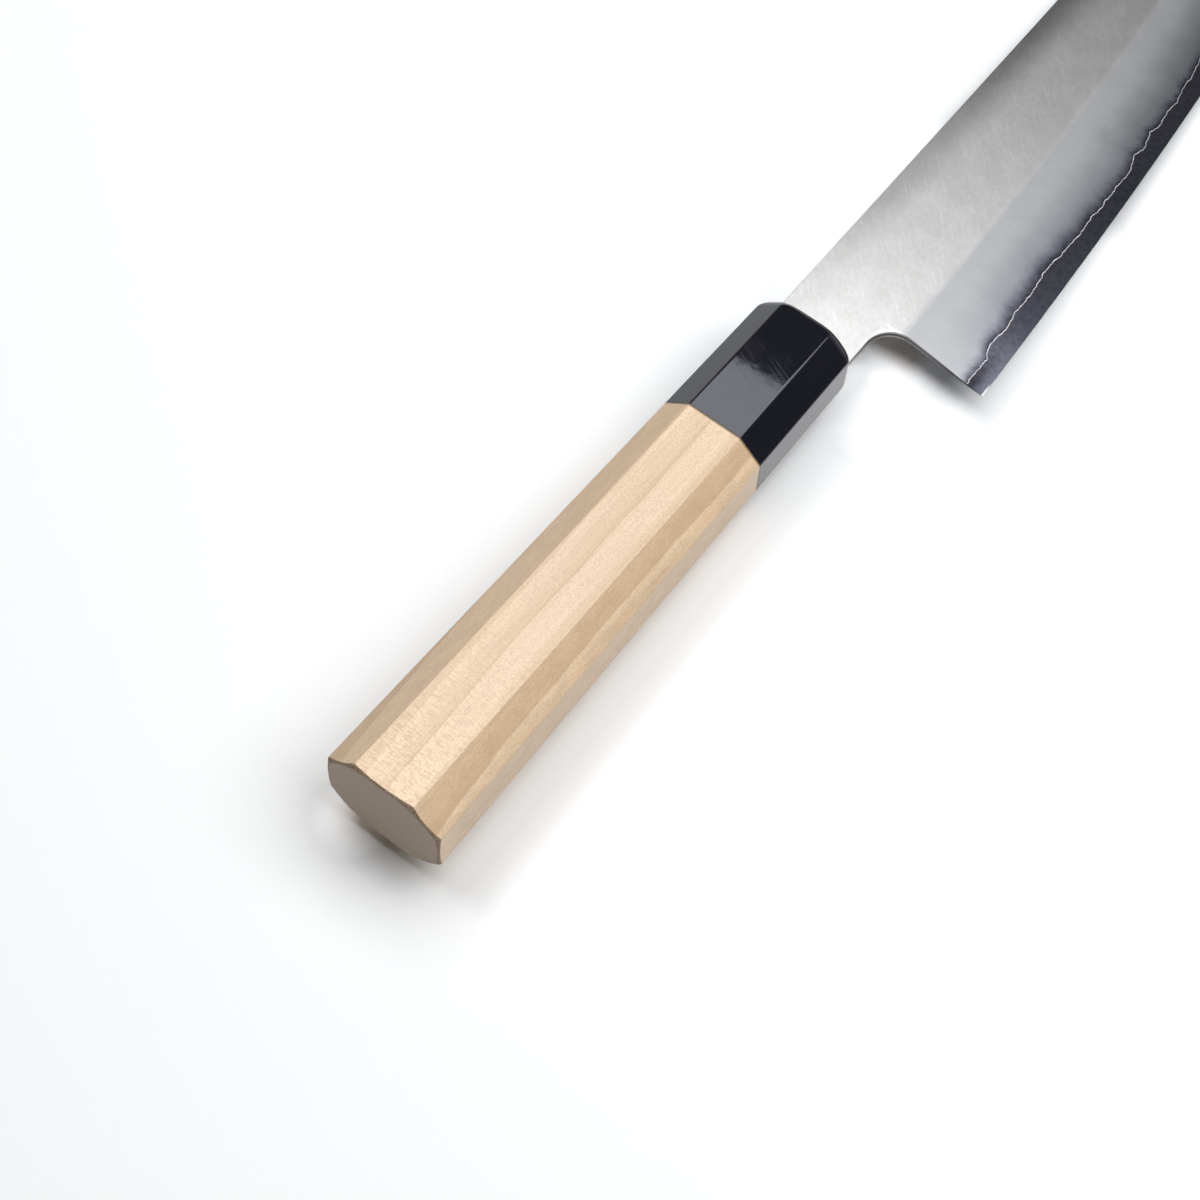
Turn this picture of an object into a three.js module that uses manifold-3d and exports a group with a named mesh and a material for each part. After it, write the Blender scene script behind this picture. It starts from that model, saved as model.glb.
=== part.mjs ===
// A santoku knife lying on its left side: the handle runs along X, the tip points to +X, the spine faces +Y
// and the right face of the blade faces up. Sizes are in millimetres.
// The knife is drawn round the middle of the ferrule's front face, with the blade's middle plane at Z 0,
// and is then moved so that its origin is under the middle of its bounding box.
import * as THREE from "three";
import { mergeVertices } from "three/addons/utils/BufferGeometryUtils.js";
import Module from "manifold-3d";

const { clamp, lerp, smoothstep, degToRad } = THREE.MathUtils;

// Handle: one eight-sided taper that the wood and the ferrule share
const handleLength = 131.5;
const ferruleLength = 32;
const buttHeight = 26.2;
const buttThickness = 21.8;
const buttBroadFlat = 13.5;
const buttSideFlat = 11;
const noseHeight = 21.7;
const noseThickness = 18.1;
const noseBroadFlat = 11.6;
const noseSideFlat = 8.8;
const arrisRadius = 0.6; // rounding along the eight ridges
const buttRounding = 0.6; // rounding round the butt's rim
const noseRoundLength = 3; // rounding round the ferrule's front rim, along the handle
const noseRoundDepth = 2.2; // the same rounding, across the handle
const noseCornerRadius = 5; // the ridges fade out in this rounding on the front face

// Tenon joint between wood and ferrule
const tenonDiameter = 14;
const ferruleFrontWall = 11.5; // solid end of the ferrule, in front of the tenon's socket
const tenonEndRoom = 0.5; // tenon's end to the socket's end
const glueLine = 0.15; // film of glue between pieces that are bonded
const joinOverlap = 3; // how far the tenon's and the tang's roots run into the body that they grow from

// Blade outline
const edgeLength = 165; // heel to tip
const heelHeight = 43.2; // spine to heel
const heelSetback = 10.7; // ferrule to heel
const spineRise = 8.5; // spine above the handle's axis
const neckHeight = 18.4; // spine to the neck's underside
const choilRadius = 6;
const choilLean = 5.3; // degrees that the choil leans forward as it rises
const heelSlope = 0.043; // rise of the edge at the heel, per unit of length
const edgeBelly = 0.041; // even curve of the edge, as a share of its length
const tipSweep = 0.03; // extra rise of the edge towards the tip, as a share of its length
const tipSweepPower = 6;
const spineDropLength = 64; // the spine curves down to the tip over this length
const spineDropPower = 2.5;

// Blade thickness and grind
const heelSpineThickness = 2; // at the spine, above the heel
const tipSpineThickness = 1.2; // at the same height, above the tip
const grindLineThickness = 1.8; // at the heel, where the bevel starts
const grindStartDrop = 4.3; // neck's underside to grind line, at the choil
const tipBevelWidth = 17.5; // edge to grind line, carried on to the tip
const bevelBulge = 0.09; // how far the bevel is convex, as a share of its rise
const coreThickness = 0.6;
const weldHeight = 4.1; // edge to weld line
const edgeBevelWidth = 0.6;
const edgeBevelThickness = 0.24;

// Waves of the weld line left by forging: height, length and shift along the edge
const rightWaves = [
  { height: 0.6, length: 70, shift: 21 },
  { height: 0.35, length: 8.4, shift: 18.5 },
  { height: 0.2, length: 13.7, shift: 3 },
];
const leftWaves = [
  { height: 0.5, length: 58, shift: 9 },
  { height: 0.3, length: 9.2, shift: 3 },
  { height: 0.25, length: 15.1, shift: 11 },
];
const waveFadeStart = 30; // the waves die out between these two distances from the tip
const waveFadeEnd = 10;

// Tang and the adhesive that beds it
const tangLength = 90;
const tangRootHeight = 10;
const tangEndHeight = 5;
const tangThinning = 0.1; // how much thinner the tang is than the spine above the heel
const beddingThickness = 0.7;

// Fineness of the curved surfaces
const bevelShares = [0, 0.14, 0.5, 1]; // the bevel's lines, as shares of the way from grind line to weld line
const grindLineReach = 0.85; // near the tip the grind line keeps below this share of the blade's height
const bladeStations = 72;
const tipStations = 4;
const neckStations = 5;
const choilArcSteps = 6;
const cornerSteps = 2;
const cornerLimit = 0.45; // a ridge's rounding takes no more than this share of its narrowest side
const rimSteps = 4;
const roundSides = 40;
const tangEndSteps = 6;
const searchSteps = 50;
const weldTolerance = 1e-4;

const halfCore = coreThickness / 2;
const heelY = spineRise - heelHeight;
const neckY = spineRise - neckHeight;
const grindStartY = neckY - grindStartDrop;
const heelBevelWidth = grindStartY - heelY;
const tangThickness = heelSpineThickness - tangThinning;
const tipX = heelSetback + edgeLength;
const jointX = -ferruleLength;
const buttX = -handleLength;
const socketEndX = -ferruleFrontWall;
const tenonEndX = socketEndX - tenonEndRoom;

const wasm = await Module();
wasm.setup();

function toSolid(geometry) {
  const bare = geometry.clone();
  bare.deleteAttribute("normal");
  bare.deleteAttribute("uv");
  const merged = mergeVertices(bare, weldTolerance);
  return new wasm.Manifold(
    new wasm.Mesh({
      numProp: 3,
      vertProperties: merged.getAttribute("position").array,
      triVerts: new Uint32Array(merged.index.array),
    }),
  );
}

function toGeometry(solid) {
  const { vertProperties, triVerts } = solid.getMesh();
  const geometry = new THREE.BufferGeometry();
  geometry.setAttribute("position", new THREE.BufferAttribute(vertProperties, 3));
  geometry.setIndex(new THREE.BufferAttribute(triVerts, 1));
  return geometry;
}

function join(first, second) {
  return toGeometry(toSolid(first).add(toSolid(second)));
}

function cut(body, ...tools) {
  const result = tools.reduce((solid, tool) => solid.subtract(toSolid(tool)), toSolid(body));
  return toGeometry(result);
}

// Closes ribbons between neighbouring lines of points into one surface. A ribbon faces along the product of
// its direction of travel and the step from its lower to its upper line. Triangles of no width are left out.
function skin(ribbons) {
  const corners = [];
  const addTriangle = (a, b, c) => {
    const flat = a.distanceTo(b) < weldTolerance || b.distanceTo(c) < weldTolerance;
    if (!flat && c.distanceTo(a) >= weldTolerance) corners.push(a, b, c);
  };
  for (const [upper, lower] of ribbons) {
    for (let i = 0; i + 1 < upper.length; i += 1) {
      addTriangle(lower[i], lower[i + 1], upper[i + 1]);
      addTriangle(lower[i], upper[i + 1], upper[i]);
    }
  }
  return new THREE.BufferGeometry().setFromPoints(corners);
}

// Lofts a closed surface through rings of points along X, with flat ends
function loft(rings) {
  const corners = [];
  const around = rings[0].length;
  for (let r = 0; r + 1 < rings.length; r += 1) {
    for (let i = 0; i < around; i += 1) {
      const next = (i + 1) % around;
      corners.push(rings[r][i], rings[r + 1][next], rings[r + 1][i]);
      corners.push(rings[r][i], rings[r][next], rings[r + 1][next]);
    }
  }
  const first = rings[0];
  const last = rings[rings.length - 1];
  for (let i = 1; i + 1 < around; i += 1) {
    corners.push(first[0], first[i + 1], first[i]);
    corners.push(last[0], last[i], last[i + 1]);
  }
  return new THREE.BufferGeometry().setFromPoints(corners);
}

// Height of the edge, the spine and the weld line at x, and the wave of one side's weld line
function edgeY(x) {
  const u = (x - heelSetback) / edgeLength;
  return heelY + edgeLength * (heelSlope * u + edgeBelly * u ** 2 + tipSweep * u ** tipSweepPower);
}

function spineY(x) {
  const u = Math.max(0, 1 - (tipX - x) / spineDropLength);
  return spineRise - (spineRise - edgeY(tipX)) * u ** spineDropPower;
}

function weldDistance(x, waves) {
  const fade = 1 - smoothstep(x, tipX - waveFadeStart, tipX - waveFadeEnd);
  const wave = (w) => w.height * Math.sin((2 * Math.PI * (x - w.shift)) / w.length);
  return weldHeight + fade * waves.reduce((sum, w) => sum + wave(w), 0);
}

// Half the blade's thickness: flat faces above the grind line, a convex bevel down to the weld line, and the
// core below it
function flatHalf(x, y) {
  const along = (heelSpineThickness - tipSpineThickness) / edgeLength;
  const down = (heelSpineThickness - grindLineThickness) / (neckHeight + grindStartDrop);
  return (heelSpineThickness - along * (x - heelSetback) - down * (spineRise - y)) / 2;
}

function bevelWidth(x) {
  return lerp(heelBevelWidth, tipBevelWidth, (x - heelSetback) / edgeLength);
}

function halfThickness(x, y, waves) {
  const distance = y - edgeY(x);
  const weld = weldDistance(x, waves);
  const width = bevelWidth(x);
  if (distance >= width) return flatHalf(x, y);
  if (distance >= weld) {
    const share = (distance - weld) / (width - weld);
    const rise = flatHalf(x, edgeY(x) + width) - halfCore;
    return halfCore + rise * (share + 4 * bevelBulge * share * (1 - share));
  }
  if (distance <= edgeBevelWidth) return (edgeBevelThickness / 2) * (distance / edgeBevelWidth);
  return lerp(edgeBevelThickness / 2, halfCore, (distance - edgeBevelWidth) / (weld - edgeBevelWidth));
}

// The choil: a leaning line up from the heel that an arc turns into the underside of the neck
const lean = degToRad(choilLean);
const choilCentreY = neckY - choilRadius;
const choilCentreX =
  heelSetback + ((choilCentreY - heelY) * Math.sin(lean) - choilRadius) / Math.cos(lean);

function choilX(y) {
  const lineX = heelSetback + (y - heelY) * Math.tan(lean);
  const arcRise = y - choilCentreY;
  if (arcRise < -choilRadius * Math.sin(lean)) return lineX;
  return choilCentreX + Math.sqrt(Math.max(0, choilRadius ** 2 - arcRise ** 2));
}

// Where the weld line runs out through the spine, close to the tip
function findWeldEnd() {
  let low = tipX - waveFadeEnd;
  let high = tipX;
  for (let i = 0; i < searchSteps; i += 1) {
    const middle = (low + high) / 2;
    if (spineY(middle) - edgeY(middle) > weldHeight) low = middle;
    else high = middle;
  }
  return low;
}
const weldEndX = findWeldEnd();

// Lines of the blade that run from the choil to the end of the weld line
function bladeLines(waves) {
  const spine = [];
  const bevel = bevelShares.map(() => []);
  const edgeTop = [];
  const edge = [];
  const grindStartX = choilX(grindStartY);
  for (let i = 0; i <= bladeStations; i += 1) {
    const t = i / bladeStations;
    const spineX = lerp(grindStartX, weldEndX, t);
    spine.push(new THREE.Vector2(spineX, spineY(spineX)));
    const height = spineY(spineX) - edgeY(spineX);
    const bottom = Math.min(weldDistance(spineX, waves), height);
    const top = Math.min(bevelWidth(spineX), lerp(bottom, height, grindLineReach));
    bevelShares.forEach((share, row) => {
      const startX = choilX(heelY + lerp(heelBevelWidth, weldDistance(heelSetback, waves), share));
      const x = lerp(startX, weldEndX, t);
      const isWeld = row === bevelShares.length - 1;
      const distance = isWeld ? Math.min(weldDistance(x, waves), height) : lerp(top, bottom, share);
      bevel[row].push(new THREE.Vector2(i === 0 ? choilX(edgeY(x) + distance) : x, edgeY(x) + distance));
    });
    const edgeTopX = lerp(choilX(heelY + edgeBevelWidth), weldEndX, t);
    edgeTop.push(new THREE.Vector2(edgeTopX, edgeY(edgeTopX) + edgeBevelWidth));
    const edgeX = lerp(heelSetback, weldEndX, t);
    edge.push(new THREE.Vector2(edgeX, edgeY(edgeX)));
  }
  return { spine, bevel, edgeTop, edge };
}

// The neck between the ferrule and the choil: its top and its underside, which follows the choil's arc
function neckLines() {
  const endX = choilX(grindStartY);
  const endAngle = Math.asin(clamp((grindStartY - choilCentreY) / choilRadius, -Math.sin(lean), 1));
  const underside = [];
  for (let i = 0; i <= neckStations; i += 1) {
    underside.push(new THREE.Vector2((choilCentreX * i) / neckStations, neckY));
  }
  for (let i = 1; i < choilArcSteps; i += 1) {
    const angle = lerp(Math.PI / 2, endAngle, i / choilArcSteps);
    const arcX = choilCentreX + choilRadius * Math.cos(angle);
    underside.push(new THREE.Vector2(arcX, choilCentreY + choilRadius * Math.sin(angle)));
  }
  const top = underside.map((point, i) => new THREE.Vector2((endX * i) / underside.length, spineRise));
  return { top, underside };
}

// Lays lines of the outline at a height: on the blade's surface, or on a plane
function onSurface(points, waves) {
  return points.map((p) => new THREE.Vector3(p.x, p.y, halfThickness(p.x, p.y, waves)));
}

function onPlane(points, z) {
  return points.map((p) => new THREE.Vector3(p.x, p.y, z));
}

function flip(points) {
  return points.map((p) => new THREE.Vector3(p.x, p.y, -p.z));
}

function mirrored(ribbons) {
  return ribbons.map(([upper, lower]) => [flip(lower), flip(upper)]);
}

function between(lines) {
  return lines.slice(1).map((line, i) => [lines[i], line]);
}

// Tang outline, grown on every side but the root's
function tangShape(grow, rootX) {
  const endRadius = tangEndHeight / 2 + grow;
  const rootHalf = tangRootHeight / 2 + grow;
  const shape = new THREE.Shape();
  shape.moveTo(rootX, -rootHalf);
  shape.lineTo(rootX, rootHalf);
  shape.lineTo(-tangLength + tangEndHeight / 2, endRadius);
  shape.absarc(-tangLength + tangEndHeight / 2, 0, endRadius, Math.PI / 2, (3 * Math.PI) / 2);
  return shape;
}

function tangSlab(grow, rootX, bottom, top) {
  const slab = new THREE.ExtrudeGeometry(tangShape(grow, rootX), {
    depth: top - bottom,
    bevelEnabled: false,
    curveSegments: tangEndSteps,
  });
  return slab.translate(0, 0, bottom);
}

const neck = neckLines();

// Soft outer layer of one face, thinning out to nothing at the weld line
function makeCladding(waves, side) {
  const { spine, bevel } = bladeLines(waves);
  const spineLine = [...neck.top, ...spine];
  const flatEdge = [...neck.underside, ...bevel[0]];
  const lines = [[spineLine, flatEdge], ...between(bevel)];
  const isWeldLine = (line) => line === bevel[bevel.length - 1];
  const outside = (line) => (isWeldLine(line) ? onPlane(line, halfCore) : onSurface(line, waves));
  const inside = (line) => onPlane(line, halfCore);
  const starts = bevel.map((line) => line[0]);
  const rim = [neck.top[0], ...neck.underside, ...starts];
  const outerRim = [...onSurface(rim.slice(0, -1), waves), ...onPlane(rim.slice(-1), halfCore)];
  const ribbons = [
    ...lines.map(([upper, lower]) => [outside(upper), outside(lower)]),
    ...lines.map(([upper, lower]) => [inside(lower), inside(upper)]),
    [inside(spineLine), outside(spineLine)],
    [outerRim, inside(rim)],
  ];
  const faces = side > 0 ? ribbons : mirrored(ribbons);
  const [bottom, top] = [halfCore, tangThickness / 2].map((z) => z * side).sort((a, b) => a - b);
  return join(skin(faces), tangSlab(0, joinOverlap, bottom, top));
}

// Hard middle layer: flat under the cladding, bare and ground to an edge below the weld lines
function makeCore() {
  const tipXs = Array.from({ length: tipStations }, (_, i) => lerp(weldEndX, tipX, (i + 1) / tipStations));
  const tipSpine = tipXs.map((x) => new THREE.Vector2(x, spineY(x)));
  const tipEdge = tipXs.map((x) => new THREE.Vector2(x, edgeY(x)));
  const edgeTopAt = (x) => Math.min(edgeBevelWidth, (spineY(x) - edgeY(x)) / 2);
  const tipEdgeTop = tipXs.map((x) => new THREE.Vector2(x, edgeY(x) + edgeTopAt(x)));

  const half = (waves) => {
    const { spine, bevel, edgeTop, edge } = bladeLines(waves);
    const weld = bevel[bevel.length - 1];
    const lines = [[[...neck.top, ...spine], [...neck.underside, ...bevel[0]]], ...between(bevel)];
    const bareTop = [...onPlane(weld, halfCore), ...onSurface(tipSpine, waves)];
    const bareMiddle = onSurface([...edgeTop, ...tipEdgeTop], waves);
    const bareBottom = onPlane([...edge, ...tipEdge], 0);
    const starts = onPlane(bevel.map((line) => line[0]), halfCore);
    return {
      faces: [
        ...lines.map(([upper, lower]) => [onPlane(upper, halfCore), onPlane(lower, halfCore)]),
        [bareTop, bareMiddle],
        [bareMiddle, bareBottom],
      ],
      back: [...onPlane([...neck.top, ...spine], halfCore), ...onSurface(tipSpine, waves)],
      rim: [...onPlane([neck.top[0], ...neck.underside], halfCore), ...starts, bareMiddle[0], bareBottom[0]],
    };
  };
  const right = half(rightWaves);
  const left = half(leftWaves);
  const blade = skin([
    ...right.faces,
    ...mirrored(left.faces),
    [flip(left.back), right.back],
    [right.rim, flip(left.rim)],
  ]);
  return join(blade, tangSlab(0, joinOverlap, -halfCore, halfCore));
}

// Eight-sided section of the handle at x, drawn in by an inset and with its corners rounded
function handleRing(x, inset, cornerRadius) {
  const t = (x - buttX) / handleLength;
  const y = lerp(buttHeight, noseHeight, t) / 2 - inset;
  const z = lerp(buttThickness, noseThickness, t) / 2 - inset;
  const insetOnFlat = inset * Math.tan(Math.PI / 8);
  const flatY = lerp(buttBroadFlat, noseBroadFlat, t) / 2 - insetOnFlat;
  const flatZ = lerp(buttSideFlat, noseSideFlat, t) / 2 - insetOnFlat;
  const quarter = [
    [y, flatZ],
    [flatY, z],
  ];
  const half = [...quarter, ...quarter.toReversed().map(([a, b]) => [-a, b])];
  const corners = [...half, ...half.map(([a, b]) => [-a, -b])].map((c) => new THREE.Vector2(...c));
  const sides = corners.map((corner, i) => corner.distanceTo(corners.at(i - 1)));
  const reach = Math.min(cornerRadius * Math.tan(Math.PI / 8), cornerLimit * Math.min(...sides));
  return corners.flatMap((corner, i) => {
    const towards = (other) => corner.clone().add(other.clone().sub(corner).setLength(reach));
    const before = towards(corners.at(i - 1));
    const after = towards(corners[(i + 1) % corners.length]);
    const bend = new THREE.QuadraticBezierCurve(before, corner, after);
    return bend.getPoints(cornerSteps).map((p) => new THREE.Vector3(x, p.x, p.y));
  });
}

// Quarter-round steps of a rim: how far along the axis, and how far in
function rimRound(length, depth) {
  return Array.from({ length: rimSteps + 1 }, (_, i) => {
    const share = i / rimSteps;
    const angle = (share * Math.PI) / 2;
    return { along: length * (1 - Math.sin(angle)), inset: depth * (1 - Math.cos(angle)), share };
  });
}

function tenonCylinder(radius, fromX, toX) {
  const length = toX - fromX;
  const cylinder = new THREE.CylinderGeometry(radius, radius, length, roundSides);
  return cylinder.rotateZ(-Math.PI / 2).translate(fromX + length / 2, 0, 0);
}

function tangHole() {
  const grow = beddingThickness + glueLine;
  const half = tangThickness / 2 + grow;
  return tangSlab(grow, glueLine, -half, half);
}

function makeHandleBody() {
  const butt = rimRound(buttRounding, buttRounding).toReversed();
  const rings = butt.map(({ along, inset }) => handleRing(buttX + along, inset, arrisRadius));
  const body = loft([...rings, handleRing(jointX, 0, arrisRadius)]);
  const tenon = tenonCylinder(tenonDiameter / 2, jointX - joinOverlap, tenonEndX);
  return cut(join(body, tenon), tangHole());
}

function makeFerrule() {
  const nose = rimRound(noseRoundLength, noseRoundDepth).map(({ along, inset, share }) =>
    handleRing(-along, inset, lerp(arrisRadius, noseCornerRadius, share)),
  );
  const body = loft([handleRing(jointX, 0, arrisRadius), ...nose]);
  const socket = tenonCylinder(tenonDiameter / 2 + glueLine, jointX - tenonEndRoom, socketEndX);
  return cut(body, socket, tangHole());
}

// Adhesive sleeve round the tang, flush with the ferrule's front face
function makeBedding() {
  const outerHalf = tangThickness / 2 + beddingThickness;
  const innerHalf = tangThickness / 2 + glueLine;
  const outer = tangSlab(beddingThickness, 0, -outerHalf, outerHalf);
  return cut(outer, tangSlab(glueLine, glueLine, -innerHalf, innerHalf));
}

const steel = { metalness: 1, flatShading: true };
const coreMaterial = new THREE.MeshStandardMaterial({ color: 0x8d8f95, roughness: 0.18, ...steel });
const claddingMaterial = new THREE.MeshStandardMaterial({ color: 0xc4c5c7, roughness: 0.38, ...steel });
const ferruleMaterial = new THREE.MeshStandardMaterial({ color: 0x15151a, roughness: 0.15 });
const woodMaterial = new THREE.MeshStandardMaterial({ color: 0xe6cdb0, roughness: 0.6 });
const beddingMaterial = new THREE.MeshStandardMaterial({ color: 0xb9a987, roughness: 0.5 });

const knife = new THREE.Group();

function addPiece(name, geometry, material) {
  const mesh = new THREE.Mesh(geometry, material);
  mesh.name = name;
  knife.add(mesh);
}

addPiece("core_steel", makeCore(), coreMaterial);
addPiece("cladding_right", makeCladding(rightWaves, 1), claddingMaterial);
addPiece("cladding_left", makeCladding(leftWaves, -1), claddingMaterial);
addPiece("ferrule", makeFerrule(), ferruleMaterial);
addPiece("handle_body", makeHandleBody(), woodMaterial);
addPiece("tang_bedding", makeBedding(), beddingMaterial);

const bounds = new THREE.Box3().setFromObject(knife);
const middle = bounds.getCenter(new THREE.Vector3());
knife.position.set(-middle.x, -middle.y, -bounds.min.z);

const santoku = new THREE.Group();
santoku.add(knife);

export default santoku;
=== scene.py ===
import math

import bmesh
import bpy
import numpy as np
from mathutils import Matrix, Vector


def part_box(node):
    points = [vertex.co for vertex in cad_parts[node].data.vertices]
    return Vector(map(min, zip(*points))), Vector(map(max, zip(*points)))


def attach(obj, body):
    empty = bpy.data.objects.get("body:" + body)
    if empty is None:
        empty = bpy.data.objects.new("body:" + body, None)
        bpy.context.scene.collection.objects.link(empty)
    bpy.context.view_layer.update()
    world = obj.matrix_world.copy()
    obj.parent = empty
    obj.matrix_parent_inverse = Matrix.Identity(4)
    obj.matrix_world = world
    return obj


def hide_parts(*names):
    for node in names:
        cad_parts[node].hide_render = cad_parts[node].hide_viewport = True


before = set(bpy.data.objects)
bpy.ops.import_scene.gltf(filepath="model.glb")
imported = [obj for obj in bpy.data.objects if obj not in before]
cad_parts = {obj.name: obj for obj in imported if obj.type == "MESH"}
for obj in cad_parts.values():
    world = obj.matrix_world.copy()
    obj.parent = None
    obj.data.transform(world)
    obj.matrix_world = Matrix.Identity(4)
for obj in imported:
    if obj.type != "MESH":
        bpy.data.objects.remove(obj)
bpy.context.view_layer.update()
scene = bpy.context.scene
scene.view_settings.view_transform = "Standard"

mm = 0.001
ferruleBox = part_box("ferrule")
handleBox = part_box("handle_body")
handleMiddle = (handleBox[0] + handleBox[1]) / 2
origin = Vector((ferruleBox[1].x, handleMiddle.y, handleMiddle.z))  # middle of the ferrule's front face
print("frame loaded, knife drawn round", [round(v, 5) for v in origin])


def colour(red, green, blue):  # screen values 0 to 255 as a linear colour
    def linear(v):
        v /= 255
        return v / 12.92 if v <= 0.04045 else ((v + 0.055) / 1.055) ** 2.4
    return (linear(red), linear(green), linear(blue), 1)


def grey(level):
    return (level, level, level, 1)


def addNode(tree, kind, inputs=None, **settings):
    node = tree.nodes.new(kind)
    for key, value in settings.items():
        setattr(node, key, value)
    for key, value in (inputs or {}).items():
        feed(tree, value, node.inputs[key])
    return node


def feed(tree, source, socket):  # a node's first output or a socket is linked, anything else is set
    if isinstance(source, bpy.types.Node):
        source = source.outputs[0]
    if isinstance(source, bpy.types.NodeSocket):
        tree.links.new(source, socket)
    else:
        socket.default_value = source


def maths(tree):
    def run(operation, *values, clamp=False):
        node = addNode(tree, "ShaderNodeMath", dict(enumerate(values)), operation=operation, use_clamp=clamp)
        return node.outputs[0]
    return run


def between(run, first, second, share):
    return run("MULTIPLY_ADD", share, run("SUBTRACT", second, first), first)


def floats(*names):
    return [(name, "Float") for name in names]


def vectors(tree):
    def run(operation, first, second=None):
        node = addNode(tree, "ShaderNodeVectorMath", {0: first}, operation=operation)
        if second is not None:
            feed(tree, second, node.inputs["Scale" if operation == "SCALE" else 1])
        return node.outputs["Value" if operation in ("LENGTH", "DOT_PRODUCT") else "Vector"]
    return run


def newGroup(name, kind, inputs, outputs):
    tree = bpy.data.node_groups.new(name, kind)
    for direction, sockets in (("INPUT", inputs), ("OUTPUT", outputs)):
        for label, socketKind in sockets:
            tree.interface.new_socket(name=label, in_out=direction, socket_type="NodeSocket" + socketKind)
    return tree, addNode(tree, "NodeGroupInput").outputs, addNode(tree, "NodeGroupOutput").inputs


def placeGroup(tree, group, **values):
    return addNode(tree, tree.bl_idname.replace("NodeTree", "NodeGroup"), values, node_tree=group)


def splitAxes(tree, vector):
    return addNode(tree, "ShaderNodeSeparateXYZ", {0: vector}).outputs


def joinAxes(tree, **values):
    return addNode(tree, "ShaderNodeCombineXYZ", values).outputs[0]


def noise(tree, place, detail, roughness=0.5):
    inputs = {"Vector": place, "Scale": 1, "Detail": detail, "Roughness": roughness}
    return addNode(tree, "ShaderNodeTexNoise", inputs).outputs[0]


def blendRange(tree, value, low, high, start=0.0, end=1.0):
    inputs = {"Value": value, "From Min": low, "From Max": high, "To Min": start, "To Max": end}
    return addNode(tree, "ShaderNodeMapRange", inputs, interpolation_type="SMOOTHSTEP").outputs[0]


def mixColour(tree, share, first, second, how="MIX"):
    inputs = {"Factor": share, 6: first, 7: second}  # the two colours are its seventh and eighth sockets
    return addNode(tree, "ShaderNodeMix", inputs, data_type="RGBA", blend_type=how).outputs[2]


def tinted(tree, tone, *shades):  # a tone multiplied by shades
    for shade in shades:
        tone = mixColour(tree, 1.0, tone, shade, "MULTIPLY")
    return tone


def ramp(tree, value, stops, blend="LINEAR"):  # stops are (where, colour or number)
    low, high = stops[0][0], stops[-1][0]
    run = maths(tree)
    node = addNode(
        tree, "ShaderNodeValToRGB", {"Fac": run("DIVIDE", run("SUBTRACT", value, low), high - low)}
    )
    node.color_ramp.interpolation = blend
    elements = node.color_ramp.elements
    while len(elements) < len(stops):
        elements.new(0.5)
    for element, (where, tone) in zip(elements, stops):
        element.position = (where - low) / (high - low)
        element.color = tone if isinstance(tone, tuple) else grey(tone)
    return node.outputs["Color"]


def attribute(tree, name):
    return addNode(tree, "ShaderNodeAttribute", attribute_name=name).outputs["Fac"]


def bumpFrom(tree, height, distance, under=None):
    inputs = {"Strength": 1, "Distance": distance, "Height": height}
    if under is not None:
        inputs["Normal"] = under
    return addNode(tree, "ShaderNodeBump", inputs).outputs[0]


def clearTree(block):  # an empty node tree for a material or a world
    block.use_nodes = True
    block.node_tree.nodes.clear()
    return block.node_tree


# Camera and studio

view = {
    "place": (-0.31314, -0.13917, 0.49901),
    "right": (0.61068, -0.79101, 0.03693),
    "up": (0.68660, 0.55216, 0.47297),
    "back": (-0.39452, -0.26348, 0.88030),
    "lens": 88.46,
}
studio = {
    "balance": 12.6,  # mm from the ferrule to where the knife balances
    "floorSize": 8,
    "floorGap": 0.04,  # mm between the knife's feet and the floor
    "floorColour": (0.84, 0.85, 0.86, 1),
    "seenFloor": (0.99, 1.01, 1.032, 1),  # what the eye sees of the floor
    "paintedFloorShading": [  # painted shadow and light on the floor: mm along and across the knife, how far it reaches, how light the floor is painted there
        (11, 60, -30, 8.5, 7, grey(1.42)),
        (-6, 4, -7.5, 8.5, 4, grey(1.55)),
        (-128, -12, -20, -17, 5, grey(0.88)),
        (-133, -131, -4, 1, 6, grey(0.78)),
        (-131.5, -130, 7.5, 9.5, 7, grey(1.6)),
        (13, 20, -17, -6.5, 2.5, (0.74, 0.67, 0.62, 1)),
    ],
    "knifeStretch": (-131.5, 176, -35, 13),  # mm along and across
    "whiteFloor": (0.15, 0.6),  # metres from the knife over which the floor turns into a white backdrop
    "paintedReflectionGlow": 0.42,  # painted glow on the floor next to the ferrule, seen only in reflections
    "mirroredStretch": (-22, 0, -11, 11),
    "mirroredReach": 14.0,
    "panelMiddle": (0.161, -0.27, 0.92),
    "panelSize": (0.79, 1.68),
    "panelTurn": math.radians(5),
    "panelPower": 15.2,
    "panelColour": (1, 0.995, 0.985),
    "roomDark": 0.07,
    "roomPale": 1.0,
    "roomGlow": 0.4,  # what polished faces see of the room's walls
    # dark parts of the room: their direction, where they start and where they are full
    "darkAbove": ((0.5, 0.257, 0.828), 0.7, 0.85),
    "darkSides": [((0.39, -0.86, 0.33), 0.93, 0.98), ((0.87, 0.257, 0.42), 0.93, 0.975)],
}


def makeCamera():
    data = bpy.data.cameras.new("photoCamera")
    data.sensor_width = 36
    data.lens = view["lens"]
    data.clip_start = 0.01
    camera = bpy.data.objects.new("photoCamera", data)
    scene.collection.objects.link(camera)
    axes = Matrix((view["right"], view["up"], view["back"])).transposed()
    camera.matrix_world = Matrix.Translation(view["place"]) @ axes.to_4x4()
    scene.camera = camera


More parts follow.
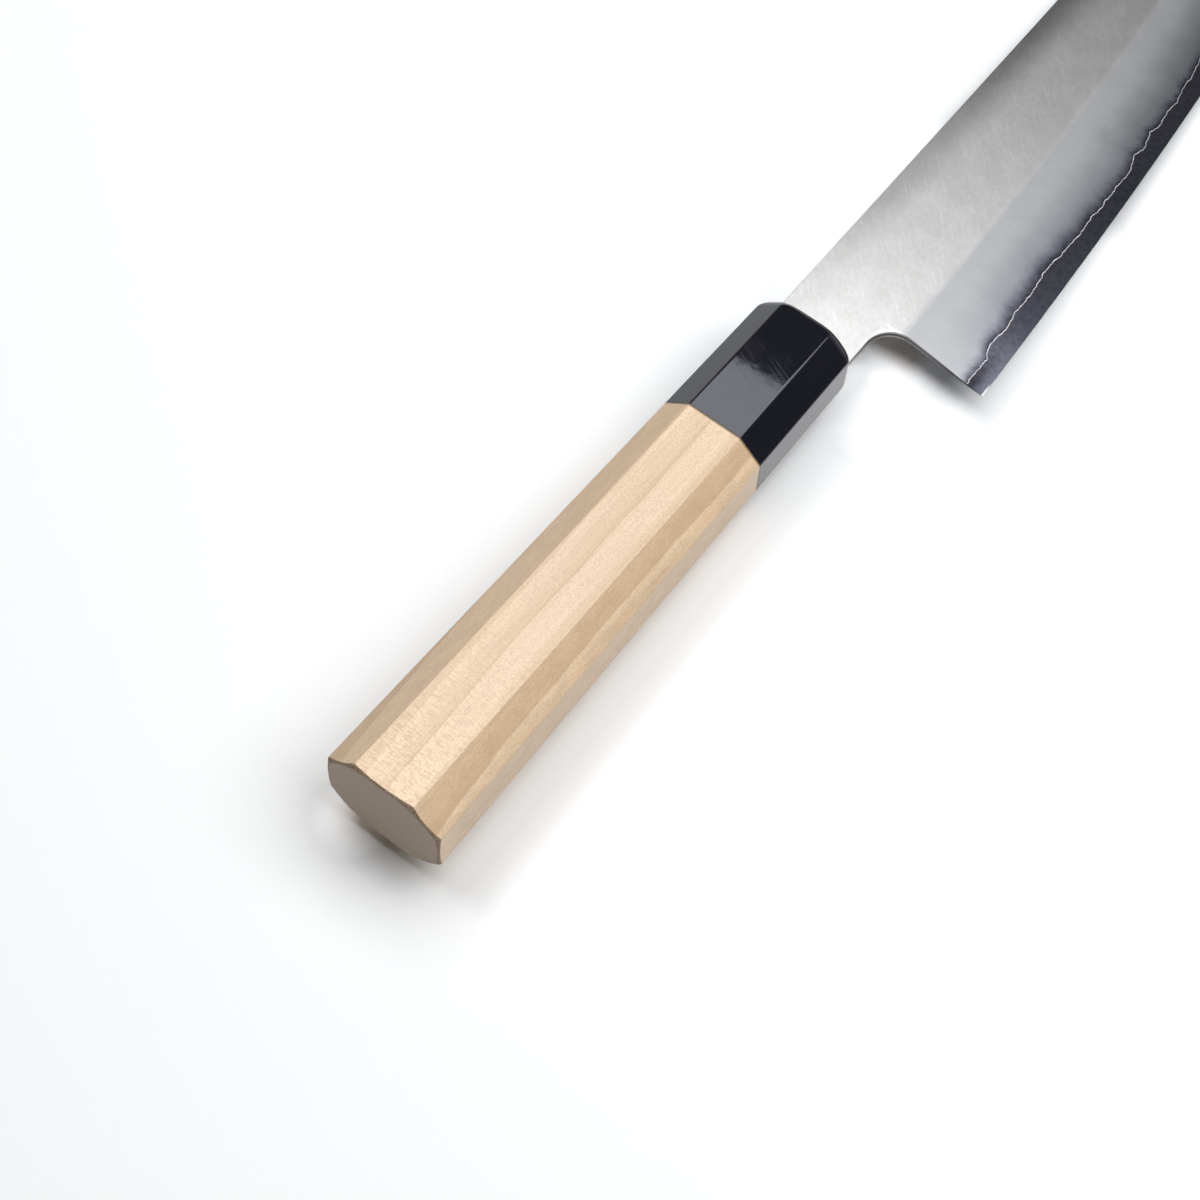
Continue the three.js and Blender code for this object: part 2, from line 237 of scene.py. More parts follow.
def restingFeet():  # the two heights along X that the knife comes to rest on
    corners = np.array([v.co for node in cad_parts.values() for v in node.data.vertices])[:, [0, 2]]
    balance = origin.x + studio["balance"] * mm
    foot = corners[corners[:, 1].argmin()]
    while True:
        ahead = corners[corners[:, 0] > foot[0] + 1e-5]
        rise = (ahead[:, 1] - foot[1]) / (ahead[:, 0] - foot[0])
        nextFoot = ahead[rise.argmin()]
        if nextFoot[0] > balance:
            return foot, nextFoot
        foot = nextFoot


def makeFloor():
    first, second = restingFeet()
    slope = (second[1] - first[1]) / (second[0] - first[0])
    half = studio["floorSize"] / 2
    height = lambda x: first[1] + slope * (x - first[0]) - studio["floorGap"] * mm
    corners = [(x, y, height(x)) for x, y in ((-half, -half), (half, -half), (half, half), (-half, half))]
    mesh = bpy.data.meshes.new("floor")
    mesh.from_pydata(corners, [], [(0, 1, 2, 3)])
    floor = bpy.data.objects.new("floor", mesh)
    scene.collection.objects.link(floor)
    material = bpy.data.materials.new("paleFloor")
    tree = clearTree(material)
    run, vec = maths(tree), vectors(tree)
    path = addNode(tree, "ShaderNodeLightPath").outputs
    place = vec("MULTIPLY", addNode(tree, "ShaderNodeTexCoord").outputs["Object"], (1, 1, 0))

    def gapTo(start, end, low, high):  # how far a point of the floor is from a stretch of the knife
        middle = (origin.x + (start + end) / 2 * mm, origin.y + (low + high) / 2 * mm, 0)
        half = ((end - start) / 2 * mm, (high - low) / 2 * mm, 0)
        beyond = vec("SUBTRACT", vec("ABSOLUTE", vec("SUBTRACT", place, middle)), half)
        return vec("LENGTH", vec("MAXIMUM", beyond, (0, 0, 0)))

    # the floor as the camera sees it, with painted shadow and light round the knife
    seen = studio["seenFloor"]
    for *stretch, reach, light in studio["paintedFloorShading"]:
        share = run("DIVIDE", gapTo(*stretch), reach * mm, clamp=True)
        seen = tinted(tree, seen, mixColour(tree, share, light, grey(1)))
    diffuse = addNode(
        tree, "ShaderNodeBsdfDiffuse",
        {"Color": mixColour(tree, path["Is Camera Ray"], studio["floorColour"], seen)},
    )
    lift = addNode(tree, "ShaderNodeEmission")
    # painted glow: the floor next to the ferrule shines white in reflections only
    gap = gapTo(*studio["mirroredStretch"])
    near = run("SUBTRACT", 1, run("DIVIDE", gap, studio["mirroredReach"] * mm), clamp=True)
    mirrored = run("MULTIPLY", path["Is Glossy Ray"], run("MULTIPLY", near, studio["paintedReflectionGlow"]))
    far = blendRange(tree, gapTo(*studio["knifeStretch"]), *studio["whiteFloor"])
    feed(tree, run("MULTIPLY_ADD", path["Is Camera Ray"], far, mirrored), lift.inputs["Strength"])
    both = addNode(tree, "ShaderNodeAddShader", {0: diffuse, 1: lift})
    addNode(tree, "ShaderNodeOutputMaterial", {"Surface": both})
    mesh.materials.append(material)


def makeLight():
    data = bpy.data.lights.new("overheadPanel", "AREA")
    data.shape = "RECTANGLE"
    data.size, data.size_y = studio["panelSize"]
    data.energy = studio["panelPower"]
    data.color = studio["panelColour"]
    panel = bpy.data.objects.new("overheadPanel", data)
    scene.collection.objects.link(panel)
    panel.location = studio["panelMiddle"]
    panel.rotation_euler = (0, 0, studio["panelTurn"])
    world = bpy.data.worlds.new("room")
    tree = clearTree(world)
    run = maths(tree)
    towards = addNode(tree, "ShaderNodeTexCoord").outputs["Generated"]
    height = splitAxes(tree, towards)["Z"]
    fade = blendRange(tree, height, 0.0, 0.1, studio["roomPale"], studio["roomDark"])
    path = addNode(tree, "ShaderNodeLightPath").outputs

    def outside(side, start, full):
        return blendRange(tree, vectors(tree)("DOT_PRODUCT", towards, side), start, full, 1.0, 0.0)

    low = blendRange(tree, height, 0.5, 0.72, studio["roomGlow"], 0.0)
    high = blendRange(tree, height, 0.8, 0.95, studio["roomGlow"], 0.0)
    glow = run("MAXIMUM", low, run("MULTIPLY", high, outside(*studio["darkAbove"])))
    for side in studio["darkSides"]:
        glow = run("MULTIPLY", glow, outside(*side))
    mirrored = run("MULTIPLY", path["Is Glossy Ray"], glow)
    strength = run("MAXIMUM", run("MAXIMUM", fade, path["Is Camera Ray"]), mirrored)
    background = addNode(tree, "ShaderNodeBackground", {"Strength": strength, "Color": grey(1)})
    addNode(tree, "ShaderNodeOutputWorld", {"Surface": background})
    scene.world = world


makeCamera()
makeFloor()
makeLight()
print("camera, floor and light made")


# Finishes that several pieces share

def makeKnifeSpace():  # object coordinates as mm from the ferrule's front face
    tree, _, outputs = newGroup("knifeSpace", "ShaderNodeTree", [], [("Place", "Vector")])
    spot = addNode(tree, "ShaderNodeTexCoord").outputs["Object"]
    place = addNode(
        tree, "ShaderNodeMapping", {"Location": -origin / mm, "Scale": (1 / mm,) * 3, "Vector": spot}
    )
    feed(tree, place.outputs[0], outputs["Place"])
    return tree


def makeBrushLines():  # fine parallel lines left by a belt or stone
    tree, inputs, outputs = newGroup(
        "brushLines", "ShaderNodeTree",
        [("Place", "Vector"), ("Angle", "Float"), ("Length", "Float"), ("Pitch", "Float")],
        [("Lines", "Float"), ("Scratches", "Float")],
    )
    run, vec = maths(tree), vectors(tree)
    turn = addNode(
        tree, "ShaderNodeVectorRotate",
        {"Vector": inputs["Place"], "Angle": run("MULTIPLY", inputs["Angle"], -1)}, rotation_type="Z_AXIS",
    )
    across, down = run("DIVIDE", 1, inputs["Length"]), run("DIVIDE", 1, inputs["Pitch"])
    grid = vec("MULTIPLY", turn.outputs[0], joinAxes(tree, X=across, Y=down, Z=0.3))
    feed(tree, noise(tree, grid, 3, 0.65), outputs["Lines"])
    shifted = vec("ADD", vec("MULTIPLY", grid, (0.45, 1.1, 1)), (37.0, 11.0, 5.0))
    feed(tree, blendRange(tree, noise(tree, shifted, 0), 0.66, 0.76), outputs["Scratches"])
    return tree


def makeSmudge():  # broad soft patches from handling
    tree, inputs, outputs = newGroup(
        "handledSmudge", "ShaderNodeTree", [("Place", "Vector"), ("Size", "Float")], [("Smudge", "Float")]
    )
    run, vec = maths(tree), vectors(tree)
    sized = vec("SCALE", inputs["Place"], run("DIVIDE", 1, inputs["Size"]))
    feed(tree, noise(tree, sized, 1.5, 0.45), outputs["Smudge"])
    return tree


knifeSpace = makeKnifeSpace()
brushLines = makeBrushLines()
handledSmudge = makeSmudge()


def newMaterial(name):
    material = bpy.data.materials.new(name)
    tree = clearTree(material)
    shader = addNode(tree, "ShaderNodeBsdfPrincipled")
    addNode(tree, "ShaderNodeOutputMaterial", {"Surface": shader})
    place = placeGroup(tree, knifeSpace).outputs["Place"]
    return material, tree, shader, place


def brushing(tree, place, angle, length, pitch):
    return placeGroup(tree, brushLines, Place=place, Angle=angle, Length=length, Pitch=pitch).outputs


def smudges(tree, place, size):
    return placeGroup(tree, handledSmudge, Place=place, Size=size).outputs["Smudge"]


steelLook = {
    "flatTones": ((0.541, 0.541, 0.543, 1), (0.584, 0.584, 0.586, 1)),
    "scratchTone": (0.68, 0.68, 0.68, 1),
    # darker, duller steel on the walls of spine and choil, partly painted shade
    "wallToneAndShade": (0.3, 0.285, 0.27, 1),
    "paintedSpineShade": [  # mm along the blade; painted shade: the flat darkens towards the spine, more so towards the tip
        (10.0, 0.92), (20.0, 0.91), (32.0, 0.8), (45.0, 0.74), (58.0, 0.72), (72.0, 0.6), (86.0, 0.5),
        (100.0, 0.48),
    ],
    "bevelTone": (0.391, 0.4, 0.418, 1),
    "weldShade": [  # mm above the weld line; a dark band next to it, partly darker steel by the weld and partly painted shade
        (0.0, (0.12, 0.12, 0.145, 1)), (0.45, (0.19, 0.19, 0.225, 1)), (1.2, (0.355, 0.36, 0.41, 1)),
        (2.2, (0.63, 0.64, 0.7, 1)), (3.1, (0.82, 0.83, 0.87, 1)), (4.4, (1, 1, 1, 1)),
    ],
    "bandReach": [  # mm along the blade, and how thin the band is there
        (10.0, 1.75), (20.0, 1.5), (27.0, 1.25), (36.0, 1.08), (55.0, 1.08), (70.0, 1.6), (100.0, 1.9),
    ],
    # darker bevel over several mm above the weld line, partly haze in the steel and partly painted shade
    "hazeAndShade": [
        (0.0, (0.745, 0.75, 0.785, 1)), (5.0, (0.76, 0.765, 0.795, 1)), (8.2, (0.9, 0.9, 0.91, 1)),
        (11.0, (1, 1, 1, 1)),
    ],
    "bevelRoughness": [(0.0, 0.288), (2.2, 0.292), (3.3, 0.305), (4.8, 0.34), (9.0, 0.4), (13.0, 0.445)],
    "flatRoughness": 0.322,
    "spineRoughness": 0.295,
    "spineReach": 8.5,  # mm that the spine's painted shade reaches down
    "coreTint": (0.97, 0.985, 1.28, 1),
    "coreShade": [  # mm along the blade; the core's dark tone, with painted shade that leaves it lighter at the heel and darkest midway
        (11.0, 0.118), (20.0, 0.108), (30.0, 0.064), (40.0, 0.052), (55.0, 0.047), (70.0, 0.046),
        (85.0, 0.057), (100.0, 0.062),
    ],
    "coreRoughness": 0.29,
    # painted shade on the core by the heel, away from the edge
    "paintedHeelShade": 0.68,
    # painted highlight at the heel's corner along the edge
    "paintedHeelGlint": (0.6, 0.61, 0.63, 1),
    "weldTones": ((0.44, 0.44, 0.455, 1), (0.82, 0.82, 0.84, 1)),
    "coarseAngle": math.radians(46),
    "fineAngle": math.radians(57),
    "bevelAngle": math.radians(84),
}


def makeCladdingSteel():
    material, tree, shader, place = newMaterial("brushedCladdingSteel")
    run = maths(tree)
    axes = splitAxes(tree, place)
    bevel = attribute(tree, "bevelShare")  # 0 on the flat, 1 below the grind line
    wall = attribute(tree, "rimShare")  # 1 on the walls of spine and choil
    coarse = brushing(tree, place, steelLook["coarseAngle"], 3.2, 0.36)
    fine = brushing(tree, place, steelLook["fineAngle"], 1.8, 0.26)
    stone = brushing(tree, place, steelLook["bevelAngle"], 4.0, 0.4)
    cloud = run("SUBTRACT", smudges(tree, place, 5.0), 0.5)
    both = run("MULTIPLY_ADD", coarse["Lines"], 0.5, run("MULTIPLY", fine["Lines"], 0.5))
    brushed = blendRange(tree, both, 0.36, 0.64)
    mottle = run("SUBTRACT", smudges(tree, place, 1.1), 0.5)
    byWeld = run("MULTIPLY_ADD", mottle, 0.9, run("MULTIPLY_ADD", cloud, 1.2, attribute(tree, "weldGap")))
    spineGap = attribute(tree, "spineGap")

    flatTone = mixColour(tree, brushed, *steelLook["flatTones"])
    flatTone = mixColour(tree, run("MULTIPLY", coarse["Scratches"], 0.4), flatTone, steelLook["scratchTone"])
    # painted shade on the flat towards the spine
    paintedSpineShade = ramp(tree, axes["X"], steelLook["paintedSpineShade"])
    bySpine = blendRange(tree, spineGap, 0.0, steelLook["spineReach"], 1.0, 0.0)
    flatTone = mixColour(tree, bySpine, flatTone, paintedSpineShade, "MULTIPLY")
    # the dark band by the weld line: partly darker steel, partly painted shade
    inBand = run("MULTIPLY", byWeld, ramp(tree, axes["X"], steelLook["bandReach"]))
    bevelTone = tinted(tree, steelLook["bevelTone"], ramp(tree, inBand, steelLook["weldShade"], "B_SPLINE"))
    # haze and painted shade above the weld, weaker by the heel
    hazeAndShadeAlong = blendRange(tree, axes["X"], 12.0, 36.0, 0.3, 1.0)
    hazeAndShade = ramp(tree, byWeld, steelLook["hazeAndShade"], "B_SPLINE")
    bevelTone = mixColour(tree, hazeAndShadeAlong, bevelTone, hazeAndShade, "MULTIPLY")
    bevelTone = tinted(tree, bevelTone, blendRange(tree, stone["Lines"], 0.3, 0.7, 0.99, 1.01))
    patches = blendRange(tree, run("ADD", mottle, cloud), -0.3, 0.3, 0.955, 1.045)
    flatTone = tinted(tree, flatTone, patches)
    bevelTone = mixColour(tree, 0.4, bevelTone, patches, "MULTIPLY")
    tone = mixColour(tree, bevel, flatTone, bevelTone)
    # the walls of spine and choil: duller steel, partly painted shade
    feed(tree, mixColour(tree, wall, tone, steelLook["wallToneAndShade"]), shader.inputs["Base Color"])
    shader.inputs["Metallic"].default_value = 1

    bevelRough = ramp(tree, byWeld, steelLook["bevelRoughness"], "B_SPLINE")
    ends = steelLook["spineRoughness"], steelLook["flatRoughness"]
    flatRough = blendRange(tree, spineGap, 0.0, steelLook["spineReach"], *ends)
    rough = between(run, flatRough, bevelRough, bevel)
    feed(tree, run("MULTIPLY_ADD", cloud, 0.012, rough, clamp=True), shader.inputs["Roughness"])

    height = between(run, brushed, run("MULTIPLY", stone["Lines"], 0.2), bevel)
    grooves = bumpFrom(tree, height, 0.000001)
    deep = run("MULTIPLY", coarse["Scratches"], run("SUBTRACT", bevel, 1))
    feed(tree, bumpFrom(tree, deep, 0.0000015, under=grooves), shader.inputs["Normal"])
    return material


def makeCoreSteel():
    material, tree, shader, place = newMaterial("polishedCoreSteel")
    run = maths(tree)
    axes = splitAxes(tree, place)
    x, edgeGap = axes["X"], attribute(tree, "edgeGap")
    lines = brushing(tree, place, math.radians(87), 3.0, 0.35)["Lines"]
    heel = run("MULTIPLY", blendRange(tree, x, 12.0, 15.0), blendRange(tree, x, 18.0, 30.0, 1.0, 0.0))
    marks = run("MULTIPLY", blendRange(tree, lines, 0.4, 0.7), run("MULTIPLY_ADD", heel, 0.85, 0.12))
    tone = tinted(tree, steelLook["coreTint"], ramp(tree, x, steelLook["coreShade"]))
    tone = mixColour(tree, marks, tone, (1.35, 1.35, 1.3, 1), "MULTIPLY")
    smudge = smudges(tree, place, 1.0)
    tone = tinted(tree, tone, blendRange(tree, smudge, 0.25, 0.75, 0.86, 1.14))
    # painted shade: the core by the heel drawn darker towards black, away from the edge
    byHeel = blendRange(tree, x, 12.0, 24.0, steelLook["paintedHeelShade"], 0.0)
    tone = mixColour(tree, run("MULTIPLY", byHeel, blendRange(tree, edgeGap, 0.8, 3.0)), tone, grey(0))
    # painted highlight: a glint at the heel's corner, along the edge
    atCorner = blendRange(tree, x, 12.2, 14.5, 1.0, 0.0)
    glint = run("MULTIPLY", atCorner, blendRange(tree, edgeGap, 0.15, 0.4, 1.0, 0.0))
    feed(tree, mixColour(tree, glint, tone, steelLook["paintedHeelGlint"]), shader.inputs["Base Color"])
    shader.inputs["Metallic"].default_value = 1
    rough = run("MULTIPLY_ADD", marks, 0.04, steelLook["coreRoughness"], clamp=True)
    feed(tree, rough, shader.inputs["Roughness"])
    return material


def makeWeldBright():
    material, tree, shader, place = newMaterial("brightWeldLine")
    smudge = smudges(tree, place, 0.9)
    share = blendRange(tree, smudge, 0.35, 0.65)
    feed(tree, mixColour(tree, share, *steelLook["weldTones"]), shader.inputs["Base Color"])
    shader.inputs["Metallic"].default_value = 1
    feed(tree, blendRange(tree, smudge, 0.3, 0.7, 0.4, 0.3), shader.inputs["Roughness"])
    return material


hornLook = {
    "colour": (0.006, 0.0068, 0.0115, 1),
    "streak": (0.011, 0.0112, 0.0155, 1),
    "tint": (0.86, 0.9, 1, 1),
    "roughness": 0.03,
}


def makeBlackHorn():
    material, tree, shader, place = newMaterial("polishedBlackHorn")
    run = maths(tree)
    streaks = brushing(tree, place, 0.0, 30.0, 1.8)
    hairlines = brushing(tree, place, math.radians(68), 6.0, 0.25)
    smudge = smudges(tree, place, 2.6)
    tone = mixColour(tree, streaks["Lines"], hornLook["colour"], hornLook["streak"])
    feed(tree, tone, shader.inputs["Base Color"])
    shader.inputs["IOR"].default_value = 1.56
    shader.inputs["Specular Tint"].default_value = hornLook["tint"]
    rough = run("MULTIPLY_ADD", blendRange(tree, smudge, 0.5, 0.75), 0.02, hornLook["roughness"])
    rough = run("MULTIPLY_ADD", hairlines["Scratches"], 0.04, rough, clamp=True)
    feed(tree, rough, shader.inputs["Roughness"])
    ripple = bumpFrom(tree, smudge, 0.0000024)
    fine = smudges(tree, place, 0.7)
    ripple = bumpFrom(tree, fine, 0.0000006, under=ripple)
    feed(tree, bumpFrom(tree, hairlines["Scratches"], 0.00000015, under=ripple), shader.inputs["Normal"])
    return material


woodLook = {
    "pale": colour(231, 206, 177),
    "mid": colour(218, 191, 160),
    "deep": colour(208, 179, 146),
    "shade": colour(198, 170, 138),
    "endGrain": colour(176, 156, 138),
    "rim": colour(100, 79, 50),
    "tick": colour(176, 142, 108),
    "joint": colour(110, 90, 52),
    "length": 131.5,  # mm from the butt to the ferrule's front face
    "wander": 1.6,  # mm that the year lines move sideways along the handle
    "wanderLength": 30.0,
    "rings": [  # mm across the handle
        (-14.0, "mid"), (-12.2, "pale"), (-12.0, "deep"), (-7.5, "mid"), (-6.0, "pale"), (-1.35, "pale"),
        (-1.15, "deep"), (-0.6, "mid"), (3.5, "pale"), (3.8, "mid"), (9.5, "mid"), (9.75, "shade"),
        (14.0, "deep"),
    ],
    # painted sheen on the broad flats, lighter near the butt and the ferrule; mm from the butt
    "glow": [(0.0, 1.19), (25.0, 1.1), (52.0, 1.02), (78.0, 1.01), (97.0, 1.07)],
    "roughness": 0.285,
}


def makePaleWood():
    material, tree, shader, place = newMaterial("paleSandedWood")
    run, vec = maths(tree), vectors(tree)
    axes = splitAxes(tree, place)
    across = axes["Y"]
    fromButt = run("ADD", axes["X"], woodLook["length"])

    def grain(stretch, detail=2.0, roughness=0.5):
        return noise(tree, vec("MULTIPLY", place, stretch), detail, roughness)

    drawn = run("SUBTRACT", 1, run("EXPONENT", run("DIVIDE", fromButt, -woodLook["wanderLength"])))
    reach = run("MULTIPLY_ADD", run("ABSOLUTE", across), 0.08, 1)
    year = run("MULTIPLY_ADD", run("MULTIPLY", drawn, reach), -woodLook["wander"], across)
    year = run("MULTIPLY_ADD", run("SUBTRACT", grain((0.05, 0.06, 0.06)), 0.5), 1.2, year)
    rings = ramp(tree, year, [(where, woodLook[tone]) for where, tone in woodLook["rings"]])

    fibre = grain((0.05, 1.5, 1.5), 5.0, 0.65)
    tone = mixColour(tree, blendRange(tree, fibre, 0.35, 0.75, 0.0, 0.24), rings, woodLook["tick"])
    # painted shade: the spine-side chamfer drawn darker towards the ferrule
    paintedChamferShade = run("MULTIPLY", blendRange(tree, across, 5.9, 7.0), blendRange(tree, fromButt, 30.0, 95.0))
    tone = mixColour(tree, paintedChamferShade, tone, woodLook["deep"])
    speckle = grain((3.2, 3.2, 3.2))
    tone = mixColour(tree, blendRange(tree, speckle, 0.42, 0.72, 0.0, 0.42), tone, woodLook["tick"])
    flat = blendRange(tree, run("ABSOLUTE", across), 6.3, 7.0, 1.0, 0.1)  # flecks show on the broad flats
    nearButt = blendRange(tree, fromButt, 4.0, 55.0, 1.0, 0.05)
    fleck = blendRange(tree, grain((3.3, 0.7, 0.7), 1.0), 0.44, 0.68, 0.0, 0.45)
    tone = mixColour(tree, run("MULTIPLY", run("MULTIPLY", fleck, flat), nearButt), tone, woodLook["tick"])

    patches = blendRange(tree, grain((0.22, 0.45, 0.45), 3.0), 0.3, 0.7, 0.945, 1.055)
    tone = mixColour(tree, run("SUBTRACT", 1, flat), tone, patches, "MULTIPLY")
    # painted sheen on the broad flats
    tone = mixColour(tree, flat, tone, ramp(tree, fromButt, woodLook["glow"]), "MULTIPLY")
    joint = blendRange(tree, fromButt, 99.0, 99.25, 0.0, 0.85)
    tone = mixColour(tree, joint, tone, woodLook["joint"])
    turn = attribute(tree, "rimTurn")  # 0 along the handle, 1 on the butt's face
    pores = grain((0.5, 3.0, 3.0))
    rimTone = mixColour(
        tree, blendRange(tree, pores, 0.5, 0.7, 0.0, 0.7), woodLook["rim"], woodLook["endGrain"]
    )
    tone = mixColour(tree, blendRange(tree, turn, 0.1, 0.3, 0.0, 0.85), tone, rimTone)
    endTone = mixColour(
        tree, blendRange(tree, pores, 0.4, 0.7, 0.0, 0.25), woodLook["endGrain"], woodLook["rim"]
    )
    tone = mixColour(tree, blendRange(tree, turn, 0.95, 0.99), tone, endTone)
    feed(tree, tone, shader.inputs["Base Color"])

    smudge = smudges(tree, place, 12.0)
    rough = run("MULTIPLY_ADD", smudge, 0.04, woodLook["roughness"])
    rough = run("MULTIPLY_ADD", blendRange(tree, turn, 0.05, 0.5), 0.25, rough, clamp=True)
    feed(tree, rough, shader.inputs["Roughness"])
    shader.inputs["IOR"].default_value = 1.58
    pitted = bumpFrom(tree, speckle, 0.000012)
    feed(tree, bumpFrom(tree, fibre, 0.00001, under=pitted), shader.inputs["Normal"])
    return material


def makeBeddingResin():
    material, tree, shader, place = newMaterial("curedBeddingResin")
    smudge = smudges(tree, place, 3.0)
    tone = mixColour(tree, smudge, colour(150, 132, 98), colour(196, 178, 140))
    feed(tree, tone, shader.inputs["Base Color"])
    feed(tree, blendRange(tree, smudge, 0.3, 0.7, 0.4, 0.6), shader.inputs["Roughness"])
    feed(tree, bumpFrom(tree, smudge, 0.0001), shader.inputs["Normal"])
    return material


claddingSteel = makeCladdingSteel()
coreSteel = makeCoreSteel()
weldBright = makeWeldBright()
blackHorn = makeBlackHorn()
paleWood = makePaleWood()
beddingResin = makeBeddingResin()
print("finishes made")


# Handle and ferrule: one tapered octagon, drawn by geometry nodes

taper = {
    "Handle Length": 131.5,
    "Butt Height": 26.2,
    "Butt Thickness": 21.8,
    "Butt Broad Flat": 13.5,
    "Butt Side Flat": 11.0,
    "Nose Height": 21.7,
    "Nose Thickness": 18.1,
    "Nose Broad Flat": 11.6,
    "Nose Side Flat": 8.8,
}
fineness = {
    "rimSteps": 8,
    "bodySpans": 12,
    "cornerSteps": 5,
    "flatSteps": 5,
    "holdLine": 0.12,  # mm beside each rounding
    "holdFace": 0.03,  # share of an end face
    "rodSides": 64,
}


def makeOctagonCorner():
    sizes = floats("Corner", "Half Height", "Half Thickness", "Half Broad Flat", "Half Side Flat")
    tree, inputs, outputs = newGroup("octagonCorner", "GeometryNodeTree", sizes, [("Point", "Vector")])
    run = maths(tree)
    corner = run("FLOORED_MODULO", inputs["Corner"], 8)
    quarter = run("FLOORED_MODULO", corner, 4)
    isBroad = run("LESS_THAN", run("ABSOLUTE", run("SUBTRACT", quarter, 1.5)), 1)
    sideY = run("MULTIPLY_ADD", run("LESS_THAN", quarter, 1.5), 2, -1)
    turn = run("MULTIPLY_ADD", run("LESS_THAN", corner, 3.5), 2, -1)
    y = between(run, inputs["Half Height"], inputs["Half Broad Flat"], isBroad)
    z = between(run, inputs["Half Side Flat"], inputs["Half Thickness"], isBroad)
    point = joinAxes(tree, Y=run("MULTIPLY", run("MULTIPLY", y, sideY), turn), Z=run("MULTIPLY", z, turn))
    feed(tree, point, outputs["Point"])
    return tree


pieceSizes = (
    "Start", "End", "Arris Radius", "Start Round Length", "Start Round Depth", "Start Ridge Round",
    "End Round Length", "End Round Depth", "End Corner Radius",
)


